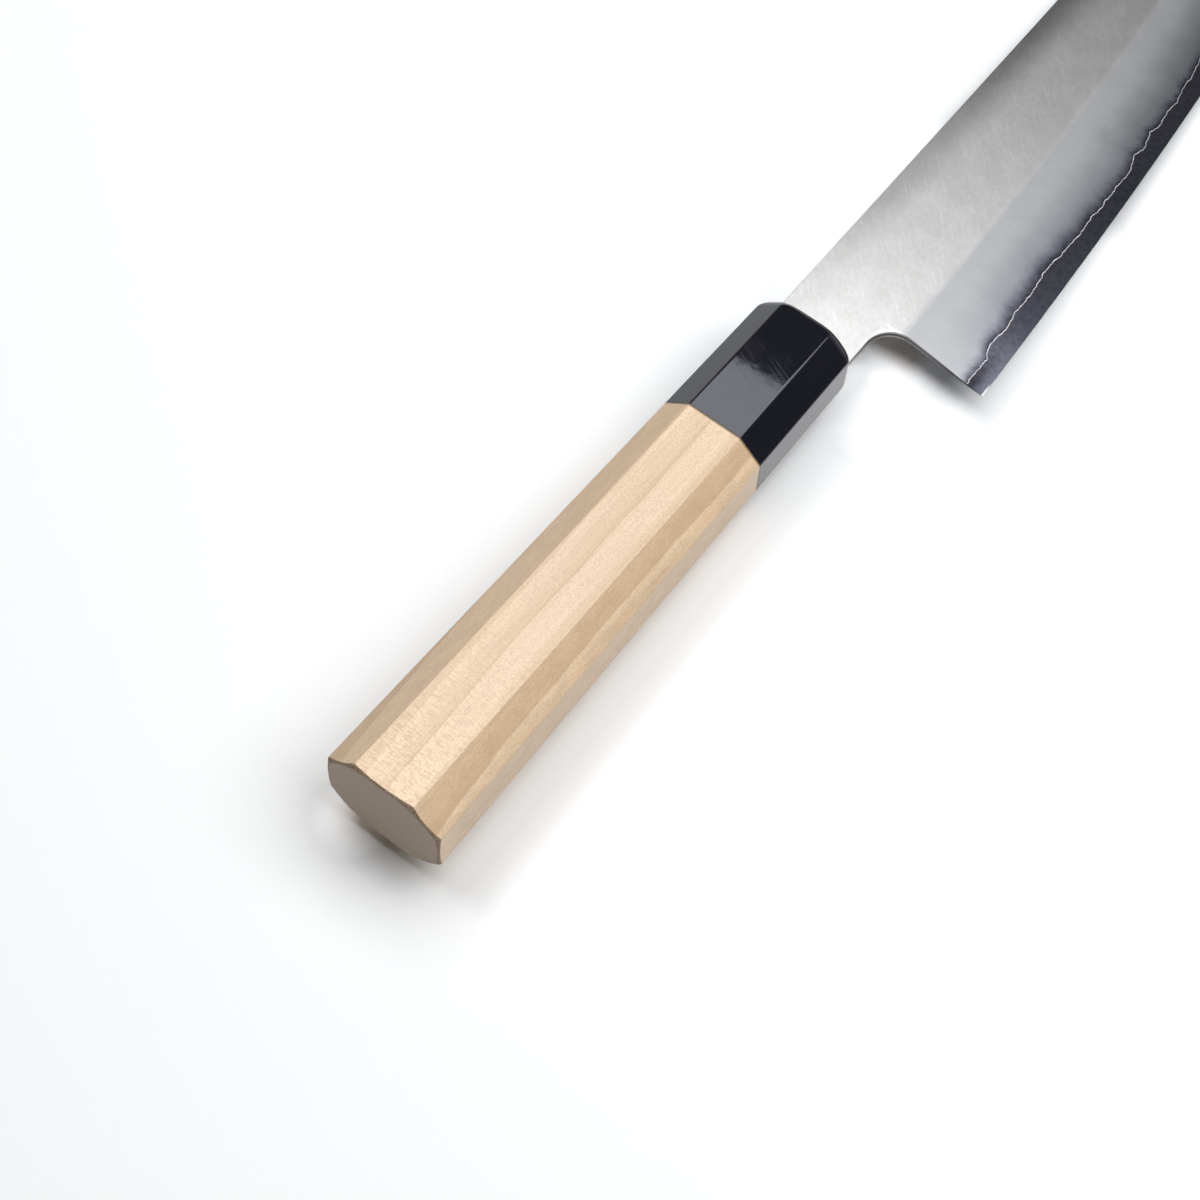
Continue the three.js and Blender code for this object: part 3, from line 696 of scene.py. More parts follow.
def makeOctagonLoft(octagonCorner):
    sizes = floats(*taper, *pieceSizes)
    tree, inputs, outputs = newGroup("octagonLoft", "GeometryNodeTree", sizes, [("Mesh", "Geometry")])
    run, vec = maths(tree), vectors(tree)
    rim, spans = fineness["rimSteps"], fineness["bodySpans"]
    steps, flatSteps = fineness["cornerSteps"], fineness["flatSteps"]
    hold = fineness["holdLine"] * mm
    perCorner = steps + 3 + flatSteps
    around = 8 * perCorner
    lastRing = 2 * rim + spans

    counts = {"Size X": 1, "Size Y": 1, "Vertices X": lastRing + 5, "Vertices Y": around + 1}
    grid = addNode(tree, "GeometryNodeMeshGrid", counts)
    spot = splitAxes(tree, addNode(tree, "GeometryNodeInputPosition"))
    ringWithCaps = run("ROUND", run("MULTIPLY", run("ADD", spot["X"], 0.5), lastRing + 4))
    ring = run("MINIMUM", run("MAXIMUM", run("SUBTRACT", ringWithCaps, 2), 0), lastRing)
    halfRings = (lastRing + 4) / 2
    fromMiddle = run("ABSOLUTE", run("SUBTRACT", ringWithCaps, halfRings))
    onFace = run("MULTIPLY", run("GREATER_THAN", fromMiddle, halfRings - 1.5), fineness["holdFace"])
    reach = run("MULTIPLY", run("SUBTRACT", 1, onFace), run("LESS_THAN", fromMiddle, halfRings - 0.5))
    step = run("FLOORED_MODULO", run("ROUND", run("MULTIPLY", run("ADD", spot["Y"], 0.5), around)), around)
    cornerIndex = run("FLOOR", run("DIVIDE", run("ADD", step, 0.01), perCorner))
    inCorner = run("MULTIPLY_ADD", cornerIndex, -perCorner, step)
    alongFlat = run("DIVIDE", run("SUBTRACT", inCorner, steps + 2), flatSteps + 1, clamp=True)
    # 1 at the ridges, 0 between them
    ridge = run("POWER", run("ABSOLUTE", run("MULTIPLY_ADD", alongFlat, -2, 1)), 2)

    startShare = run("SUBTRACT", 1, run("DIVIDE", ring, rim, clamp=True))
    endShare = run("DIVIDE", run("SUBTRACT", ring, lastRing - rim), rim, clamp=True)

    def rounding(share, length, depth):  # how far along the axis, and how far in
        angle = run("MULTIPLY", share, math.pi / 2)
        alongAxis = run("MULTIPLY", length, run("SUBTRACT", 1, run("SINE", angle)))
        return alongAxis, run("MULTIPLY", depth, run("SUBTRACT", 1, run("COSINE", angle)))

    atRidge = run("DIVIDE", inputs["Start Ridge Round"], inputs["Start Round Length"])
    bite = run("MULTIPLY_ADD", ridge, run("SUBTRACT", atRidge, 1), 1)
    startLength = run("MULTIPLY", bite, inputs["Start Round Length"])
    startDepth = run("MULTIPLY", bite, inputs["Start Round Depth"])
    startAlong, startInset = rounding(startShare, startLength, startDepth)
    endAlong, endInset = rounding(endShare, inputs["End Round Length"], inputs["End Round Depth"])
    bodyRing = run("SUBTRACT", ring, rim)
    body = run("DIVIDE", run("SUBTRACT", bodyRing, 1), spans - 2, clamp=True)
    startX, endX = run("ADD", inputs["Start"], startAlong), run("SUBTRACT", inputs["End"], endAlong)
    startX = run("MULTIPLY_ADD", run("GREATER_THAN", bodyRing, 0.5), hold, startX)
    endX = run("MULTIPLY_ADD", run("LESS_THAN", bodyRing, spans - 0.5), -hold, endX)
    x = between(run, startX, endX, body)
    inset = run("ADD", startInset, endInset)
    share = run("DIVIDE", run("ADD", x, inputs["Handle Length"]), inputs["Handle Length"])

    def half(name, drawnIn):
        full = between(run, inputs["Butt " + name], inputs["Nose " + name], share)
        return run("MULTIPLY_ADD", inset, -drawnIn, run("MULTIPLY", full, 0.5))

    flatDraw = math.tan(math.pi / 8)
    halves = {
        "Half Height": half("Height", 1),
        "Half Thickness": half("Thickness", 1),
        "Half Broad Flat": half("Broad Flat", flatDraw),
        "Half Side Flat": half("Side Flat", flatDraw),
    }
    before, corner, after = (
        placeGroup(tree, octagonCorner, Corner=run("ADD", cornerIndex, offset), **halves).outputs[0]
        for offset in (-1, 0, 1)
    )
    toBefore, toAfter = vec("SUBTRACT", before, corner), vec("SUBTRACT", after, corner)
    shortest = run("MINIMUM", vec("LENGTH", toBefore), vec("LENGTH", toAfter))
    radius = between(run, inputs["Arris Radius"], inputs["End Corner Radius"], endShare)
    cut = run("MINIMUM", run("MULTIPLY", radius, flatDraw), run("MULTIPLY", shortest, 0.45))
    bend = run("DIVIDE", run("SUBTRACT", inCorner, 1), steps, clamp=True)
    holdBefore = run("MULTIPLY", run("LESS_THAN", inCorner, 0.5), hold)
    holdAfter = run("MULTIPLY", run("GREATER_THAN", inCorner, steps + 1.5), hold)
    pullBefore = run("MULTIPLY_ADD", cut, run("POWER", run("SUBTRACT", 1, bend), 2), holdBefore)
    pullAfter = run("MULTIPLY_ADD", cut, run("POWER", bend, 2), holdAfter)
    room = run("MULTIPLY_ADD", run("ADD", cut, hold), -2, vec("LENGTH", toAfter))
    pullAfter = run("MULTIPLY_ADD", room, alongFlat, pullAfter)
    section = vec("ADD", corner, vec("SCALE", vec("NORMALIZE", toBefore), pullBefore))
    section = vec("ADD", section, vec("SCALE", vec("NORMALIZE", toAfter), pullAfter))
    point = vec("ADD", joinAxes(tree, X=x), vec("SCALE", section, reach))
    place = addNode(tree, "GeometryNodeSetPosition", {"Geometry": grid, "Position": point})
    closed = addNode(tree, "GeometryNodeMergeByDistance", {"Geometry": place, "Distance": 2e-6})
    feed(tree, closed, outputs["Mesh"])
    return tree


tangSizes = ("Root", "Tang End", "Root Height", "Tang End Height", "Tang Width")


def makeTangCutter():
    tree, inputs, outputs = newGroup(
        "tangCutter", "GeometryNodeTree", floats(*tangSizes), [("Mesh", "Geometry")]
    )
    run = maths(tree)
    cube = addNode(tree, "GeometryNodeMeshCube", {"Size": (1, 1, 1)})
    spot = splitAxes(tree, addNode(tree, "GeometryNodeInputPosition"))
    share = run("ADD", spot["X"], 0.5)
    height = between(run, inputs["Tang End Height"], inputs["Root Height"], share)
    point = joinAxes(
        tree,
        X=between(run, inputs["Tang End"], inputs["Root"], share),
        Y=run("MULTIPLY", spot["Y"], height),
        Z=run("MULTIPLY", spot["Z"], inputs["Tang Width"]),
    )
    place = addNode(tree, "GeometryNodeSetPosition", {"Geometry": cube, "Position": point})
    feed(tree, place, outputs["Mesh"])
    return tree


def dressShape(tree, shape, finish, outlet):
    real = addNode(tree, "GeometryNodeRealizeInstances", {"Geometry": shape})
    feed(tree, addNode(tree, "GeometryNodeSetMaterial", {"Geometry": real, "Material": finish}), outlet)


def makeHandleTree(name, octagonLoft, tangCutter, roundJob):
    sizes = floats(*taper, *pieceSizes, "Round Start", "Round End", "Round Diameter", *tangSizes)
    sizes += [("Place", "Vector"), ("Finish", "Material")]
    tree, inputs, outputs = newGroup(name, "GeometryNodeTree", sizes, [("Piece", "Geometry")])
    run = maths(tree)
    loft = placeGroup(tree, octagonLoft, **{n: inputs[n] for n in [*taper, *pieceSizes]})
    start, end = inputs["Round Start"], inputs["Round End"]
    radius = run("MULTIPLY", inputs["Round Diameter"], 0.5)
    rodSize = {"Vertices": fineness["rodSides"], "Radius": radius, "Depth": run("SUBTRACT", end, start)}
    rod = addNode(tree, "GeometryNodeMeshCylinder", rodSize)
    middle = joinAxes(tree, X=run("MULTIPLY", run("ADD", start, end), 0.5))
    alongX = {"Geometry": rod, "Rotation": (0, math.pi / 2, 0), "Translation": middle}
    laid = addNode(tree, "GeometryNodeTransform", alongX)
    tang = placeGroup(tree, tangCutter, **{n: inputs[n] for n in tangSizes})

    joined = addNode(tree, "GeometryNodeMeshBoolean", operation=roundJob, solver="EXACT")
    feed(tree, loft, joined.inputs["Mesh 2" if roundJob == "UNION" else "Mesh 1"])
    feed(tree, laid, joined.inputs["Mesh 2"])
    both = {"Mesh 1": joined, "Mesh 2": tang}
    hollow = addNode(tree, "GeometryNodeMeshBoolean", both, operation="DIFFERENCE", solver="EXACT")
    moved = addNode(tree, "GeometryNodeTransform", {"Geometry": hollow, "Translation": inputs["Place"]})
    dressShape(tree, moved, inputs["Finish"], outputs["Piece"])
    return tree


def growPiece(name, tree, values):  # runs a tree on an empty mesh and keeps the result as a plain mesh
    piece = bpy.data.objects.new(name, bpy.data.meshes.new(name))
    scene.collection.objects.link(piece)
    return settle(piece, tree, values)


def settle(piece, tree, values):
    modifier = piece.modifiers.new("shape", "NODES")
    modifier.node_group = tree
    for item in tree.interface.items_tree:
        if item.in_out == "INPUT" and item.name in values:
            modifier[item.identifier] = values[item.name]
    graph = bpy.context.evaluated_depsgraph_get()
    mesh = bpy.data.meshes.new_from_object(piece.evaluated_get(graph))
    name = piece.name
    bpy.data.objects.remove(piece)
    mesh.name = name
    settled = bpy.data.objects.new(name, mesh)
    scene.collection.objects.link(settled)
    return settled


def closeMesh(piece, angle, merge=1e-7):  # merged, facing out and shaded smooth up to an angle
    work = bmesh.new()
    work.from_mesh(piece.data)
    bmesh.ops.remove_doubles(work, verts=work.verts, dist=merge)
    bmesh.ops.dissolve_degenerate(work, edges=work.edges, dist=merge)
    bmesh.ops.recalc_face_normals(work, faces=work.faces)
    openEdges = sum(1 for e in work.edges if len(e.link_faces) != 2)
    work.to_mesh(piece.data)
    work.free()
    piece.data.polygons.foreach_set("use_smooth", [True] * len(piece.data.polygons))
    piece.data.set_sharp_from_angle(angle=math.radians(angle))
    print(piece.name, len(piece.data.polygons), "faces, open edges:", openEdges)


def finishPiece(piece, slot, *nodes):
    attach(piece, "root")
    if nodes:
        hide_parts(*nodes)


def markRim(piece):  # how far each point turns towards the butt, for the finish
    turns = [max(0.0, -v.normal.x) for v in piece.data.vertices]
    piece.data.attributes.new("rimTurn", "FLOAT", "POINT").data.foreach_set("value", turns)


def inMetres(*groups):
    return {key: value * mm for group in groups for key, value in group.items()}


tangRoom = {"Root": 0.15, "Tang End": -90.85, "Root Height": 11.7, "Tang End Height": 6.7, "Tang Width": 3.6}
woodSizes = {
    "Start": -131.5,
    "End": -32.0,
    "Arris Radius": 0.6,
    "Start Round Length": 0.4,
    "Start Round Depth": 0.62,
    "Start Ridge Round": 0.85,
    "End Round Length": 0.07,
    "End Round Depth": 0.07,
    "End Corner Radius": 0.6,
    "Round Start": -35.0,
    "Round End": -12.0,
    "Round Diameter": 14.0,
}
ferruleSizes = {
    "Start": -32.0,
    "End": 0.0,
    "Arris Radius": 0.7,
    "Start Round Length": 0.08,
    "Start Round Depth": 0.08,
    "Start Ridge Round": 0.08,
    "End Round Length": 2.5,
    "End Round Depth": 1.9,
    "End Corner Radius": 9.0,
    "Round Start": -32.5,
    "Round End": -11.5,
    "Round Diameter": 14.3,
}
octagonCorner = makeOctagonCorner()
octagonLoft = makeOctagonLoft(octagonCorner)
tangCutter = makeTangCutter()
woodTree = makeHandleTree("handleBodyShape", octagonLoft, tangCutter, "UNION")
ferruleTree = makeHandleTree("ferruleShape", octagonLoft, tangCutter, "DIFFERENCE")

woodValues = {**inMetres(taper, woodSizes, tangRoom), "Place": origin, "Finish": paleWood}
handleBody = growPiece("handleBody", woodTree, woodValues)
closeMesh(handleBody, 32)
markRim(handleBody)
finishPiece(handleBody, "handle_wood", "handle_body")
ferruleValues = {**inMetres(taper, ferruleSizes, tangRoom), "Place": origin, "Finish": blackHorn}
ferrule = growPiece("ferrulePolished", ferruleTree, ferruleValues)
closeMesh(ferrule, 32)
finishPiece(ferrule, "ferrule", "ferrule")
print("handle and ferrule made")


# Blade: hard core between two claddings, drawn in mm round the ferrule's front face

blade = {
    "edgeLength": 165,
    "heelHeight": 43.2,
    "heelSetback": 10.7,
    "spineRise": 8.5,
    "neckHeight": 18.4,
    "choilRadius": 6,
    "choilLean": 5.3,
    "heelSlope": 0.043,
    "edgeBelly": 0.041,
    "tipSweep": 0.03,
    "tipSweepPower": 6,
    "spineDropLength": 64,
    "spineDropPower": 2.5,
    "heelSpineThickness": 2,
    "tipSpineThickness": 1.2,
    "grindLineThickness": 1.8,
    "grindStartDrop": 4.3,
    "tipBevelWidth": 17.5,
    "bevelBulge": 0.09,
    "coreThickness": 0.6,
    "weldHeight": 4.1,
    "edgeBevelWidth": 0.6,
    "edgeBevelThickness": 0.24,
    "easedRim": 0.12,  # rounding along spine and choil
    "grindLineReach": 0.85,
    "stations": 330,
    "bevelRows": 15,
    "weldPoints": 900,
    "layerBend": 5,  # mm above the weld line over which the layers bend outwards
}
weldLines = {
    "right": [  # where along the blade, and how far above the edge
        (11.3, 4.0), (15, 3.95), (17.5, 3.75), (18.5, 3.85), (19.5, 4.5), (21.3, 4.95), (22.8, 5.0),
        (24.5, 4.7), (26.5, 4.35), (28.5, 4.5), (30.8, 4.95), (33, 4.78), (36, 4.6), (39, 4.72),
        (42.8, 5.1), (46, 4.95), (48.3, 4.42), (52.5, 4.25), (54.3, 3.9), (57.5, 3.87), (60.5, 4.06),
        (62.3, 3.65), (64.3, 3.47), (65.8, 3.7), (68, 3.33), (70.2, 3.55), (72.5, 3.17), (75.3, 3.1),
        (77.2, 3.65), (78.8, 4.3), (80.3, 3.95), (81.8, 3.4), (84.3, 3.87), (86.3, 4.35), (88.3, 3.55),
        (90.5, 3.6), (93.3, 3.83), (95.9, 3.35), (98.5, 3.57), (100.5, 3.95), (104, 3.7), (109, 4.3),
        (113, 3.8), (120, 4.4), (127, 3.9), (135, 4.3), (142, 3.95), (150, 4.2),
    ],
    "left": [
        (11.3, 4.2), (16, 4.6), (21, 4.3), (24.5, 4.75), (29, 4.2), (34, 3.9), (37, 4.4), (43, 4.1),
        (47, 3.5), (51.5, 3.9), (55, 3.4), (61, 3.75), (64, 4.35), (69, 4.0), (74, 4.5), (78, 4.2),
        (83.5, 4.8), (88, 4.3), (92, 4.6), (97.5, 3.9), (102, 4.2), (106, 3.6), (112, 4.0), (118, 3.7),
        (124, 4.4), (131, 4.0), (139, 4.4), (150, 4.0),
    ],
    # height, length and shift of the small waves on both
    "jags": [(0.05, 3.7, 1.2), (0.055, 2.3, 0.4), (0.045, 1.37, 0.9), (0.03, 0.83, 0.2)],
    "fadeStart": 30,
    "fadeEnd": 10,
}
tang = {"length": 90, "rootHeight": 10, "endHeight": 5, "thickness": 1.9, "overlap": 3}

heelX, edgeLength, spineRise = blade["heelSetback"], blade["edgeLength"], blade["spineRise"]
choilRadius, weldHeight, edgeBevelWidth = blade["choilRadius"], blade["weldHeight"], blade["edgeBevelWidth"]
bareShares = (0.25, 0.5, 0.75, 1)  # rows of points on the bare core, from the weld line to the edge bevel
mirror = np.array((1, 1, -1))
halfCore = blade["coreThickness"] / 2
heelY = spineRise - blade["heelHeight"]
neckY = spineRise - blade["neckHeight"]
grindStartY = neckY - blade["grindStartDrop"]
heelBevelWidth = grindStartY - heelY
tipX = heelX + edgeLength
lean = math.radians(blade["choilLean"])
choilY = neckY - choilRadius
choilX = heelX + ((choilY - heelY) * math.sin(lean) - choilRadius) / math.cos(lean)


def lerp(first, second, share):
    return first + (second - first) * share


def smooth(value, low, high):
    share = np.clip((value - low) / (high - low), 0, 1)
    return share * share * (3 - 2 * share)


def edgeLine(x):
    u = (x - heelX) / edgeLength
    sweep = blade["tipSweep"] * u ** blade["tipSweepPower"]
    return heelY + edgeLength * (blade["heelSlope"] * u + blade["edgeBelly"] * u**2 + sweep)


def spineLine(x):
    u = np.maximum(0, 1 - (tipX - x) / blade["spineDropLength"])
    return spineRise - (spineRise - edgeLine(tipX)) * u ** blade["spineDropPower"]


def weldAbove(x, side):  # weld line above the edge
    fade = 1 - smooth(x, tipX - weldLines["fadeStart"], tipX - weldLines["fadeEnd"])
    steps = np.interp(x, *zip(*weldLines[side])) - weldHeight
    jags = sum(h * np.sin(2 * math.pi * (x - shift) / length) for h, length, shift in weldLines["jags"])
    return weldHeight + fade * (steps + jags)


def flatHalf(x, y):
    atHeel = blade["heelSpineThickness"]
    along = (atHeel - blade["tipSpineThickness"]) / edgeLength
    down = (atHeel - blade["grindLineThickness"]) / (blade["neckHeight"] + blade["grindStartDrop"])
    return (atHeel - along * (x - heelX) - down * (spineRise - y)) / 2


def bevelWidth(x):
    return lerp(heelBevelWidth, blade["tipBevelWidth"], (x - heelX) / edgeLength)


def rimGap(x, y):  # how far a point is from the spine, the neck's underside and the choil
    spineGap = spineLine(x) - y
    lineGap = (x - heelX - (y - heelY) * math.tan(lean)) * math.cos(lean)
    arcGap = np.hypot(x - choilX, y - choilY) - choilRadius
    cornerGap = np.where(y >= choilY - choilRadius * math.sin(lean), arcGap, lineGap)
    backGap = np.where(x <= choilX, y - neckY, cornerGap)
    return np.maximum(0, np.minimum(spineGap, backGap))


def halfThickness(x, y):
    distance = y - edgeLine(x)
    width = bevelWidth(x)
    share = np.clip((distance - weldHeight) / (width - weldHeight), 0, 1)
    rise = flatHalf(x, edgeLine(x) + width) - halfCore
    bevel = halfCore + rise * (share + 4 * blade["bevelBulge"] * share * (1 - share))
    halfEdge = blade["edgeBevelThickness"] / 2
    bare = lerp(halfEdge, halfCore, (distance - edgeBevelWidth) / (weldHeight - edgeBevelWidth))
    bare = np.where(distance <= edgeBevelWidth, halfEdge * distance / edgeBevelWidth, bare)
    half = np.where(distance >= width, flatHalf(x, y), np.where(distance >= weldHeight, bevel, bare))
    ease = blade["easedRim"]
    inside = np.minimum(rimGap(x, y), ease)
    return np.where(half > halfCore + ease, half - ease + np.sqrt(ease**2 - (ease - inside) ** 2), half)


def choilAt(y):
    arcRise = np.clip(y - choilY, -choilRadius, choilRadius)
    arc = choilX + np.sqrt(choilRadius**2 - arcRise**2)
    line = heelX + (y - heelY) * math.tan(lean)
    return np.where(y - choilY < -choilRadius * math.sin(lean), line, arc)


def findWeldEnd():
    low, high = tipX - weldLines["fadeEnd"], tipX
    for _ in range(50):
        middle = (low + high) / 2
        if spineLine(middle) - edgeLine(middle) > weldHeight:
            low = middle
        else:
            high = middle
    return low


weldEndX = findWeldEnd()
easeSteps = blade["easedRim"] * np.array([0, 0.055, 0.2, 0.45, 0.73, 1, 1.25])
bladeLength = weldEndX - heelX
shares = np.concatenate((easeSteps / bladeLength, np.linspace(0.6 / bladeLength, 1, blade["stations"])))


def bladeRows(side):  # lines of points from the choil to the tip
    grindStartX = choilAt(grindStartY)
    spineX = lerp(grindStartX, weldEndX, shares)
    spine = np.column_stack((spineX, spineLine(spineX)))
    height = spineLine(spineX) - edgeLine(spineX)
    bottom = np.minimum(weldAbove(spineX, side), height)
    top = np.minimum(bevelWidth(spineX), lerp(bottom, height, blade["grindLineReach"]))
    bevel = []
    for share in np.linspace(0, 1, blade["bevelRows"]):
        startX = choilAt(heelY + lerp(heelBevelWidth, weldAbove(heelX, side), share))
        x = lerp(startX, weldEndX, shares)
        distance = np.minimum(weldAbove(x, side), height) if share == 1 else lerp(top, bottom, share)
        y = edgeLine(x) + distance
        x[0] = choilAt(y[0])
        bevel.append(np.column_stack((x, y)))
    bare = []
    for share in bareShares:
        startX = choilAt(heelY + lerp(weldAbove(heelX, side), edgeBevelWidth, share))
        x = lerp(startX, weldEndX, shares)
        weld = np.minimum(weldAbove(x, side), height)
        bare.append(np.column_stack((x, edgeLine(x) + lerp(weld, edgeBevelWidth, share))))
    edgeX = lerp(heelX, weldEndX, shares)
    return spine, bevel, bare, np.column_stack((edgeX, edgeLine(edgeX)))


def neckRows():  # top of the neck, and its underside round the choil's arc
    endAngle = math.asin((grindStartY - choilY) / choilRadius)
    straight = [(choilX * i / 6, neckY) for i in range(7)]
    angles = [lerp(math.pi / 2, endAngle, i / 20) for i in range(1, 20)]
    arc = [(choilX + choilRadius * math.cos(a), choilY + choilRadius * math.sin(a)) for a in angles]
    underside = np.array(straight + arc)
    topX = float(choilAt(grindStartY)) * np.arange(len(underside)) / len(underside)
    return np.column_stack((topX, np.full(len(underside), spineRise))), underside


def flatRows(upper, lower):  # rows between two lines, close together along both rims
    length = np.linalg.norm(lower - upper, axis=1)
    ease = np.minimum(easeSteps[None, :], 0.2 * length[:, None])
    inner = np.linspace(0.06, 0.94, 7)[None, :] * length[:, None]
    spots = np.concatenate((ease, inner, length[:, None] - ease), axis=1) / np.maximum(length, 1e-9)[:, None]
    spots.sort(axis=1)
    return [upper + (lower - upper) * spots[:, [i]] for i in range(spots.shape[1])]


def raised(line):
    return np.column_stack((line, halfThickness(line[:, 0], line[:, 1])))


def level(line, z):
    return np.column_stack((line, np.full(len(line), float(z))))


def layerRows(bevel):  # where core and cladding meet, bent to the ground surface at the weld line
    weld = raised(bevel[-1])
    rows = []
    for line in bevel:
        above = (line[:, 1] - edgeLine(line[:, 0])) - (weld[:, 1] - edgeLine(weld[:, 0]))
        bend = np.clip(1 - above / blade["layerBend"], 0, 1) ** 2
        rows.append(np.column_stack((line, halfCore + (weld[:, 2] - halfCore) * bend)))
    return rows


def skinMesh(name, strips):  # closes strips between neighbouring lines of points into one mesh
    points, faces = [], []
    for upper, lower in strips:
        start, count = len(points), len(upper)
        points += [*map(tuple, upper), *map(tuple, lower)]
        faces += [
            (start + i, start + i + 1, start + count + i + 1, start + count + i) for i in range(count - 1)
        ]
    mesh = bpy.data.meshes.new(name)
    mesh.from_pydata([tuple(Vector(p) * mm + origin) for p in points], [], faces)
    piece = bpy.data.objects.new(name, mesh)
    scene.collection.objects.link(piece)
    return piece


def flipped(strips):
    return [(upper * mirror, lower * mirror) for upper, lower in strips]


def neighbours(lines):
    return list(zip(lines, lines[1:]))


neckTop, neckUnder = neckRows()


def makeCladding(name, side, facing):
    spine, bevel, _, _ = bladeRows(side)
    flats = flatRows(np.concatenate((neckTop, spine)), np.concatenate((neckUnder, bevel[0])))
    outside = [raised(line) for line in flats]
    bevelOut = [raised(line) for line in bevel]
    inside = [level(line, halfCore) for line in flats]
    bevelIn = layerRows(bevel)
    root = np.array([line[0] for line in outside]), np.array([line[0] for line in inside])
    under = (outside[-1][: len(neckUnder) + 1], inside[-1][: len(neckUnder) + 1])
    choil = np.array([line[0] for line in bevelOut]), np.array([line[0] for line in bevelIn])
    strips = neighbours(outside) + neighbours(bevelOut) + neighbours(inside) + neighbours(bevelIn)
    strips += [(outside[0], inside[0]), root, under, choil]
    return skinMesh(name, strips if facing > 0 else flipped(strips))


def makeCore(name):
    tipXs = np.linspace(weldEndX, tipX, 13)[1:]
    tipSpine = np.column_stack((tipXs, spineLine(tipXs)))
    tipEdge = np.column_stack((tipXs, edgeLine(tipXs)))
    tipHeight = tipSpine[:, 1] - tipEdge[:, 1]
    edgeTop = np.minimum(edgeBevelWidth, tipHeight / 2)
    halves = []
    for side in ("right", "left"):
        spine, bevel, bare, edge = bladeRows(side)
        flats = flatRows(np.concatenate((neckTop, spine)), np.concatenate((neckUnder, bevel[0])))
        covered = [level(line, halfCore) for line in flats]
        coveredBevel = layerRows(bevel)
        rows = [np.concatenate((raised(bevel[-1]), raised(tipSpine)))]
        for share, line in zip(bareShares, bare):
            tipLine = np.column_stack((tipXs, tipEdge[:, 1] + lerp(tipHeight, edgeTop, share)))
            rows.append(raised(np.concatenate((line, tipLine))))
        rows.append(level(np.concatenate((edge, tipEdge)), 0))
        back = np.concatenate((covered[0], raised(tipSpine)))
        under = np.concatenate((
            [line[0] for line in covered], covered[-1][1 : len(neckUnder) + 1],
            [line[0] for line in coveredBevel][1:], [line[0] for line in rows][1:],
        ))
        halves.append((neighbours(covered) + neighbours(coveredBevel) + neighbours(rows), back, under))
    (rightStrips, rightBack, rightUnder), (leftStrips, leftBack, leftUnder) = halves
    strips = rightStrips + flipped(leftStrips)
    strips += [(rightBack, leftBack * mirror), (rightUnder, leftUnder * mirror)]
    return skinMesh(name, strips)


def tangSolid(low, high):  # tapered tang with a rounded end, closed top and bottom
    endHalf = tang["endHeight"] / 2
    endX = -tang["length"] + endHalf
    turns = np.linspace(math.pi / 2, 3 * math.pi / 2, 17)
    outline = [(tang["overlap"], -tang["rootHeight"] / 2), (tang["overlap"], tang["rootHeight"] / 2)]
    outline += [(endX + endHalf * math.cos(a), endHalf * math.sin(a)) for a in turns]
    count = len(outline)
    points = [(x, y, z) for z in (low, high) for x, y in outline]
    faces = [tuple(range(count)), tuple(range(2 * count - 1, count - 1, -1))]
    faces += [(i, (i + 1) % count, count + (i + 1) % count, count + i) for i in range(count)]
    mesh = bpy.data.meshes.new("tang")
    mesh.from_pydata([tuple(Vector(p) * mm + origin) for p in points], [], faces)
    return mesh


def joinTang(piece, low, high):
    tool = bpy.data.objects.new("tang", tangSolid(low, high))
    scene.collection.objects.link(tool)
    closeMesh(tool, 30)
    modifier = piece.modifiers.new("tang", "BOOLEAN")
    modifier.operation, modifier.solver, modifier.object = "UNION", "EXACT", tool
    graph = bpy.context.evaluated_depsgraph_get()
    mesh = bpy.data.meshes.new_from_object(piece.evaluated_get(graph))
    piece.modifiers.clear()
    old, piece.data = piece.data, mesh
    bpy.data.meshes.remove(old)
    bpy.data.objects.remove(tool)


def markBlade(piece, side):  # where the grind line and the weld line run, for the finish
    spots = np.array([(v.co - origin) / mm for v in piece.data.vertices])
    x = np.maximum(spots[:, 0], 0)
    distance = spots[:, 1] - edgeLine(x)
    values = {
        "weldGap": distance - weldAbove(x, side),
        "spineGap": spineLine(x) - spots[:, 1],
        "edgeGap": distance,
        "rimShare": 1 - smooth(rimGap(x, spots[:, 1]), 0, 0.06),
        "bevelShare": 1 - smooth(distance, bevelWidth(x) - 0.7, bevelWidth(x) + 0.5),
    }
    for name, amount in values.items():
        layer = piece.data.attributes.new(name, "FLOAT", "POINT")
        layer.data.foreach_set("value", amount.astype(np.float32))


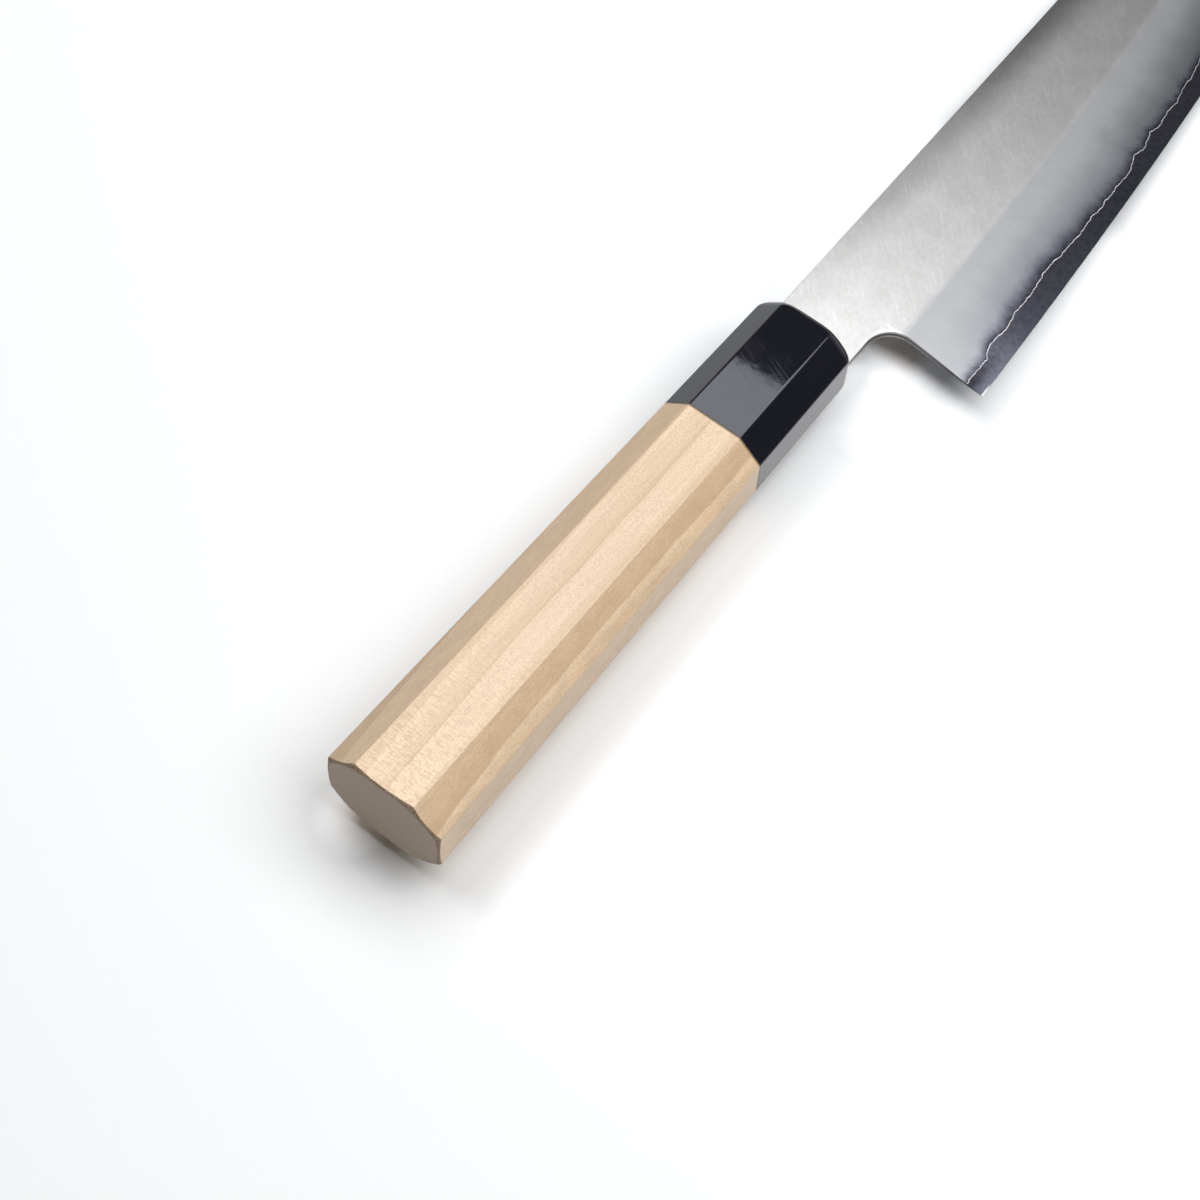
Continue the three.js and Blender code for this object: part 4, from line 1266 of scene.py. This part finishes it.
def makeWeldTree():
    sizes = [("Path", "Geometry"), *floats("Width", "Rise"), ("Finish", "Material")]
    tree, inputs, outputs = newGroup("weldLineShape", "GeometryNodeTree", sizes, [("Piece", "Geometry")])
    profile = addNode(tree, "GeometryNodeCurvePrimitiveCircle", {"Resolution": 10, "Radius": 0.5})
    size = joinAxes(tree, X=inputs["Width"], Y=inputs["Rise"], Z=1)
    flat = addNode(tree, "GeometryNodeTransform", {"Geometry": profile, "Scale": size})
    upright = addNode(tree, "GeometryNodeSetCurveNormal", {0: inputs["Path"]}, mode="Z_UP")
    swept = addNode(
        tree, "GeometryNodeCurveToMesh", {"Curve": upright, "Profile Curve": flat, "Fill Caps": True}
    )
    dressShape(tree, swept, inputs["Finish"], outputs["Piece"])
    return tree


weldBead = {"Width": 0.19, "Rise": 0.05}


def makeWeldLine(name, side, facing, tree):
    startX = float(choilAt(heelY + weldAbove(heelX, side)))
    x = np.linspace(startX + 0.05, weldEndX - 0.4, blade["weldPoints"])
    y = edgeLine(x) + weldAbove(x, side)
    z = facing * halfThickness(x, y)
    curve = bpy.data.curves.new(name, "CURVE")
    curve.dimensions = "3D"
    spline = curve.splines.new("POLY")
    spline.points.add(len(x) - 1)
    for point, spot in zip(spline.points, np.column_stack((x, y, z))):
        point.co = (*(Vector(spot) * mm + origin), 1)
    path = bpy.data.objects.new(name, curve)
    scene.collection.objects.link(path)
    piece = settle(path, tree, {**inMetres(weldBead), "Finish": weldBright})
    closeMesh(piece, 60)
    finishPiece(piece, "cladding_steel")


for name, side, facing, node in (
    ("claddingRight", "right", 1, "cladding_right"),
    ("claddingLeft", "left", -1, "cladding_left"),
):
    piece = makeCladding(name, side, facing)
    closeMesh(piece, 25)
    low, high = sorted((facing * (halfCore + 0.01), facing * tang["thickness"] / 2))
    joinTang(piece, low, high)
    closeMesh(piece, 25)
    markBlade(piece, side)
    piece.data.materials.append(claddingSteel)
    finishPiece(piece, "cladding_steel", node)

core = makeCore("coreSteel")
closeMesh(core, 25)
joinTang(core, -halfCore + 0.01, halfCore - 0.01)
closeMesh(core, 25)
markBlade(core, "right")
core.data.materials.append(coreSteel)
finishPiece(core, "core_steel", "core_steel")

weldTree = makeWeldTree()
makeWeldLine("weldLineRight", "right", 1, weldTree)
makeWeldLine("weldLineLeft", "left", -1, weldTree)

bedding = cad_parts["tang_bedding"]
bedding.data.materials.clear()
bedding.data.materials.append(beddingResin)
print("blade made")
